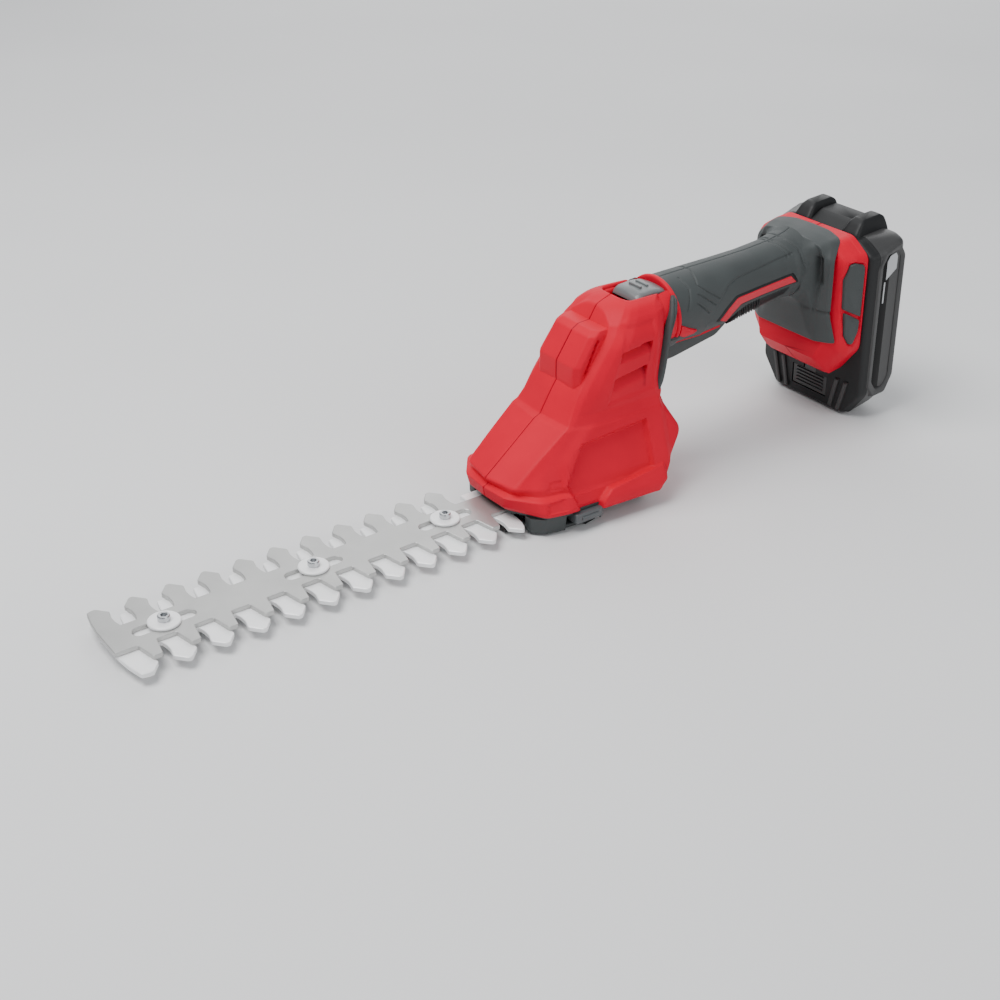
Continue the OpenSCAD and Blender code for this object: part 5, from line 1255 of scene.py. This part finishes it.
def case_surface(rows, row_radius):
    """Closed surface over rings of the pack's case, each drawn from its row of sizes."""
    net = rings([
        (u, [(PACK_MIDDLE, crown), (inner, top), (outer, top), (half, shoulder),
             (half, PACK_WAIST), (half, hip), (foot, low), (PACK_MIDDLE, low)])
        for u, crown, top, inner, outer, half, shoulder, hip, foot, low in rows])
    return to_part(net_surface(net, row_radius, [0, 2, 2.5, 2.5, 2, 2.5, 2.5, 0] * 2, step=1.2, closed=True))


def horn(rows, row_radius, radius):
    """Upright tapered block from rows of (height, ends along, ends across)."""
    net = [[(u0, y0, w), (u1, y0, w), (u1, y1, w), (u0, y1, w)] for w, u0, u1, y0, y1 in rows]
    return to_part(net_surface(net, row_radius, radius, step=1.2, closed=True))


class SHEARS_OT_pack(bpy.types.Operator):
    """Battery pack: case, horns, ridges, the latch's ribs, and label frames and plates with bare tags"""

    bl_idname = "shears.pack"
    bl_label = "Battery pack"

    def execute(self, context):
        front, rear, ridges, ribs, horns, frames, plates, tags = (Build() for _ in range(8))
        outline = ring_line(np.concatenate([FRONT_HALF * [-1, 1], FRONT_HALF[::-1]]), 2.5, 4)
        outline = outline if area_of(outline) > 0 else outline[::-1]
        room = ring_line(np.concatenate([LATCH_ROOM, LATCH_ROOM[::-1] * [-1, 1]]), 0.5, 60)
        front.plate([(u, [drawn_in(outline, d), room]) for u, d in FRONT_LEVELS])
        front.points[0] = to_part(front.points[0][:, [2, 0, 1]])
        front.tube(case_surface(FRONT_ROWS, 0))
        for reach, half in TONGUE:
            front.tube(to_part(rounded_block((104.5, -half, -50), (reach, half, 1.7), 0.5)))
        front.make("pack_case_front", "black_plastic", ["pack_front"], "pack")
        rear.tube(case_surface(REAR_ROWS, [0, 2, 1.5, 0.8, 0.3, 0]))
        rear.make("pack_case_rear", "charcoal_plastic", ["pack_rear"], "pack")
        low, high, width = -88, -70, 2.8
        for y0, y1 in RIDGES:
            ridges.pair(to_part([
                [(u, y0 + d, low + d), (u, y0 + width - d, low + d),
                 (u, y1 + width - d, high - d), (u, y1 + d, high - d)]
                for u, d in ((115.2, 0), (113.7, 0.1), (113.2, 0.7))]))
        ridges.make("pack_front_ridges", "charcoal_plastic", body="pack", angle=30)
        for w in -82.6 + LATCH_PITCH * np.arange(LATCH_RIBS):
            ribs.tube(to_part(rounded_block((114.0, -9.6, w), (115.4, 9.6, w + 1.0), 0.3)))
        ribs.make("latch_ribs", "charcoal_plastic", body="latch", angle=30)
        horns.pair(horn(HORN_ROWS, [0, 1.5, 1.2, 0], 2.0))
        horns.tube(horn(BRIDGE_ROWS, [0, 1.0, 1.0, 0], 1.0))
        horns.make("pack_horns", "black_plastic", body="pack")
        big, small = (even(ring_line(line[::-1], 1.5, 1.6), 220) for line in (LABEL_FRAME, LABEL_PLACE))
        border = (
            (drawn_in(big, -1.4), 34.2), (drawn_in(big, -0.6), 35.6), (big, 36.35),
            (drawn_in(small, -0.7), 36.4), (small, 35.9), (small, 34.2))
        for half in both(to_part([upright(p, y) for p, y in border])):
            frames.hoop(half)
        plates.pair(to_part([upright(drawn_in(small, d), y) for d, y in ((0, 34.4), (0, 35.5), (0.3, 35.7))]))
        for tag in TAGS:
            line = ring_line(tag[::-1], 0.3, 2)
            tags.pair(to_part([upright(line, y) for y in (35.4, 35.82)]))
        frames.make("label_frames", "charcoal_plastic", body="pack")
        plates.make("label_plates", "gloss_black", ["pack_plates"], "pack")
        tags.make("label_tags", "grey_plastic", body="pack", finish="tag_silver")
        return {"FINISHED"}


# Stage: the lights by name with place, aim, size and power, then the camera

LIGHTS = (
    ("key_box", (-0.5, 0.14, 1.2), (0, 0, 0.05), 0.8, 18.5),
    ("fill_box", (0.25, -1.25, 0.72), (0, 0, 0.06), 1.0, 5.6),
    ("back_panel", (0.95, 1.05, 0.95), (-0.05, 0, 0.05), 1.7, 15.0),
)
AIR_COLOUR, AIR_STRENGTH = (0.9, 0.94, 1.0, 1), 0.38
FLOOR_HALF, FLOOR_LEVEL = 2.5, -0.0002
CAMERA_PLACE, CAMERA_LENS = (-0.39931, -0.47827, 0.35919), 52.68
CAMERA_TURN, CAMERA_RISE, CAMERA_ROLL = (math.radians(angle) for angle in (-37.629, 30.2, 1.0846))


class SHEARS_OT_stage(bpy.types.Operator):
    """Pale floor, soft lights and the camera"""

    bl_idname = "shears.stage"
    bl_label = "Stage"

    def execute(self, context):
        scene = context.scene
        floor = bpy.data.meshes.new("floor")
        corners = np.array([(-1, -1), (-1, 1), (1, -1), (1, 1)]) * FLOOR_HALF
        floor.from_pydata(flat(corners, FLOOR_LEVEL).tolist(), [], [[0, 2, 3, 1]])
        ground = bpy.data.objects.new("studio_floor", floor)
        scene.collection.objects.link(ground)
        paper = Finish("studio_paper", (0.78, 0.78, 0.78), 0.8)
        paper.set(Base_Color=paper.ramp(paper.noise(3, 2), (0.3, (0.76, 0.76, 0.76)), (0.7, (0.8, 0.8, 0.8))))
        floor.materials.append(paper.material)
        scene.world = bpy.data.worlds.new("studio_air")
        scene.world.use_nodes = True
        air = scene.world.node_tree.nodes["Background"].inputs
        air["Color"].default_value, air["Strength"].default_value = AIR_COLOUR, AIR_STRENGTH
        for name, place, aim, size, power in LIGHTS:
            light = bpy.data.lights.new(name, "AREA")
            light.size, light.energy = size, power
            lamp = bpy.data.objects.new(name, light)
            scene.collection.objects.link(lamp)
            lamp.location = place
            lamp.rotation_euler = (Vector(aim) - Vector(place)).to_track_quat("-Z", "Y").to_euler()
        camera = bpy.data.cameras.new("photo_view")
        camera.lens, camera.sensor_width = CAMERA_LENS, 36
        camera.clip_start, camera.clip_end = 0.01, 20
        eye = bpy.data.objects.new("photo_view", camera)
        scene.collection.objects.link(eye)
        a, e, r = CAMERA_TURN, CAMERA_RISE, CAMERA_ROLL
        back = Vector((math.sin(a) * math.cos(e), -math.cos(a) * math.cos(e), math.sin(e)))
        right = Vector((math.cos(a), math.sin(a), 0))
        up = back.cross(right)
        right, up = math.cos(r) * right + math.sin(r) * up, -math.sin(r) * right + math.cos(r) * up
        turn = Matrix((right, up, back)).transposed().to_4x4()
        eye.matrix_world = Matrix.Translation(Vector(CAMERA_PLACE)) @ turn
        scene.camera = eye
        return {"FINISHED"}


OPERATORS = (
    SHEARS_OT_carried, SHEARS_OT_head, SHEARS_OT_pod, SHEARS_OT_neck, SHEARS_OT_slider, SHEARS_OT_strips,
    SHEARS_OT_base, SHEARS_OT_blades, SHEARS_OT_grip, SHEARS_OT_trigger, SHEARS_OT_foot, SHEARS_OT_pack,
    SHEARS_OT_stage,
)


class SHEARS_PT_panel(bpy.types.Panel):
    """Sidebar panel with the pieces in making order"""

    bl_idname = "SHEARS_PT_panel"
    bl_label = "Shears"
    bl_space_type = "VIEW_3D"
    bl_region_type = "UI"
    bl_category = "Shears"

    def draw(self, context):
        for group in (context.scene.shears_sizes, context.scene.shears_colours):
            for name in group.__annotations__:
                self.layout.prop(group, name)
        for operator in OPERATORS:
            self.layout.operator(operator.bl_idname)


CLASSES = (ShearsColours, ShearsSizes) + OPERATORS + (SHEARS_PT_panel,)


def register():
    for item in CLASSES:
        bpy.utils.register_class(item)
    bpy.types.Scene.shears_colours = bpy.props.PointerProperty(type=ShearsColours)
    bpy.types.Scene.shears_sizes = bpy.props.PointerProperty(type=ShearsSizes)


def unregister():
    del bpy.types.Scene.shears_sizes
    del bpy.types.Scene.shears_colours
    for item in reversed(CLASSES):
        bpy.utils.unregister_class(item)


def main():
    register()
    for operator in OPERATORS:
        getattr(bpy.ops.shears, operator.bl_idname.split(".")[1])()


if __name__ == "__main__":
    main()
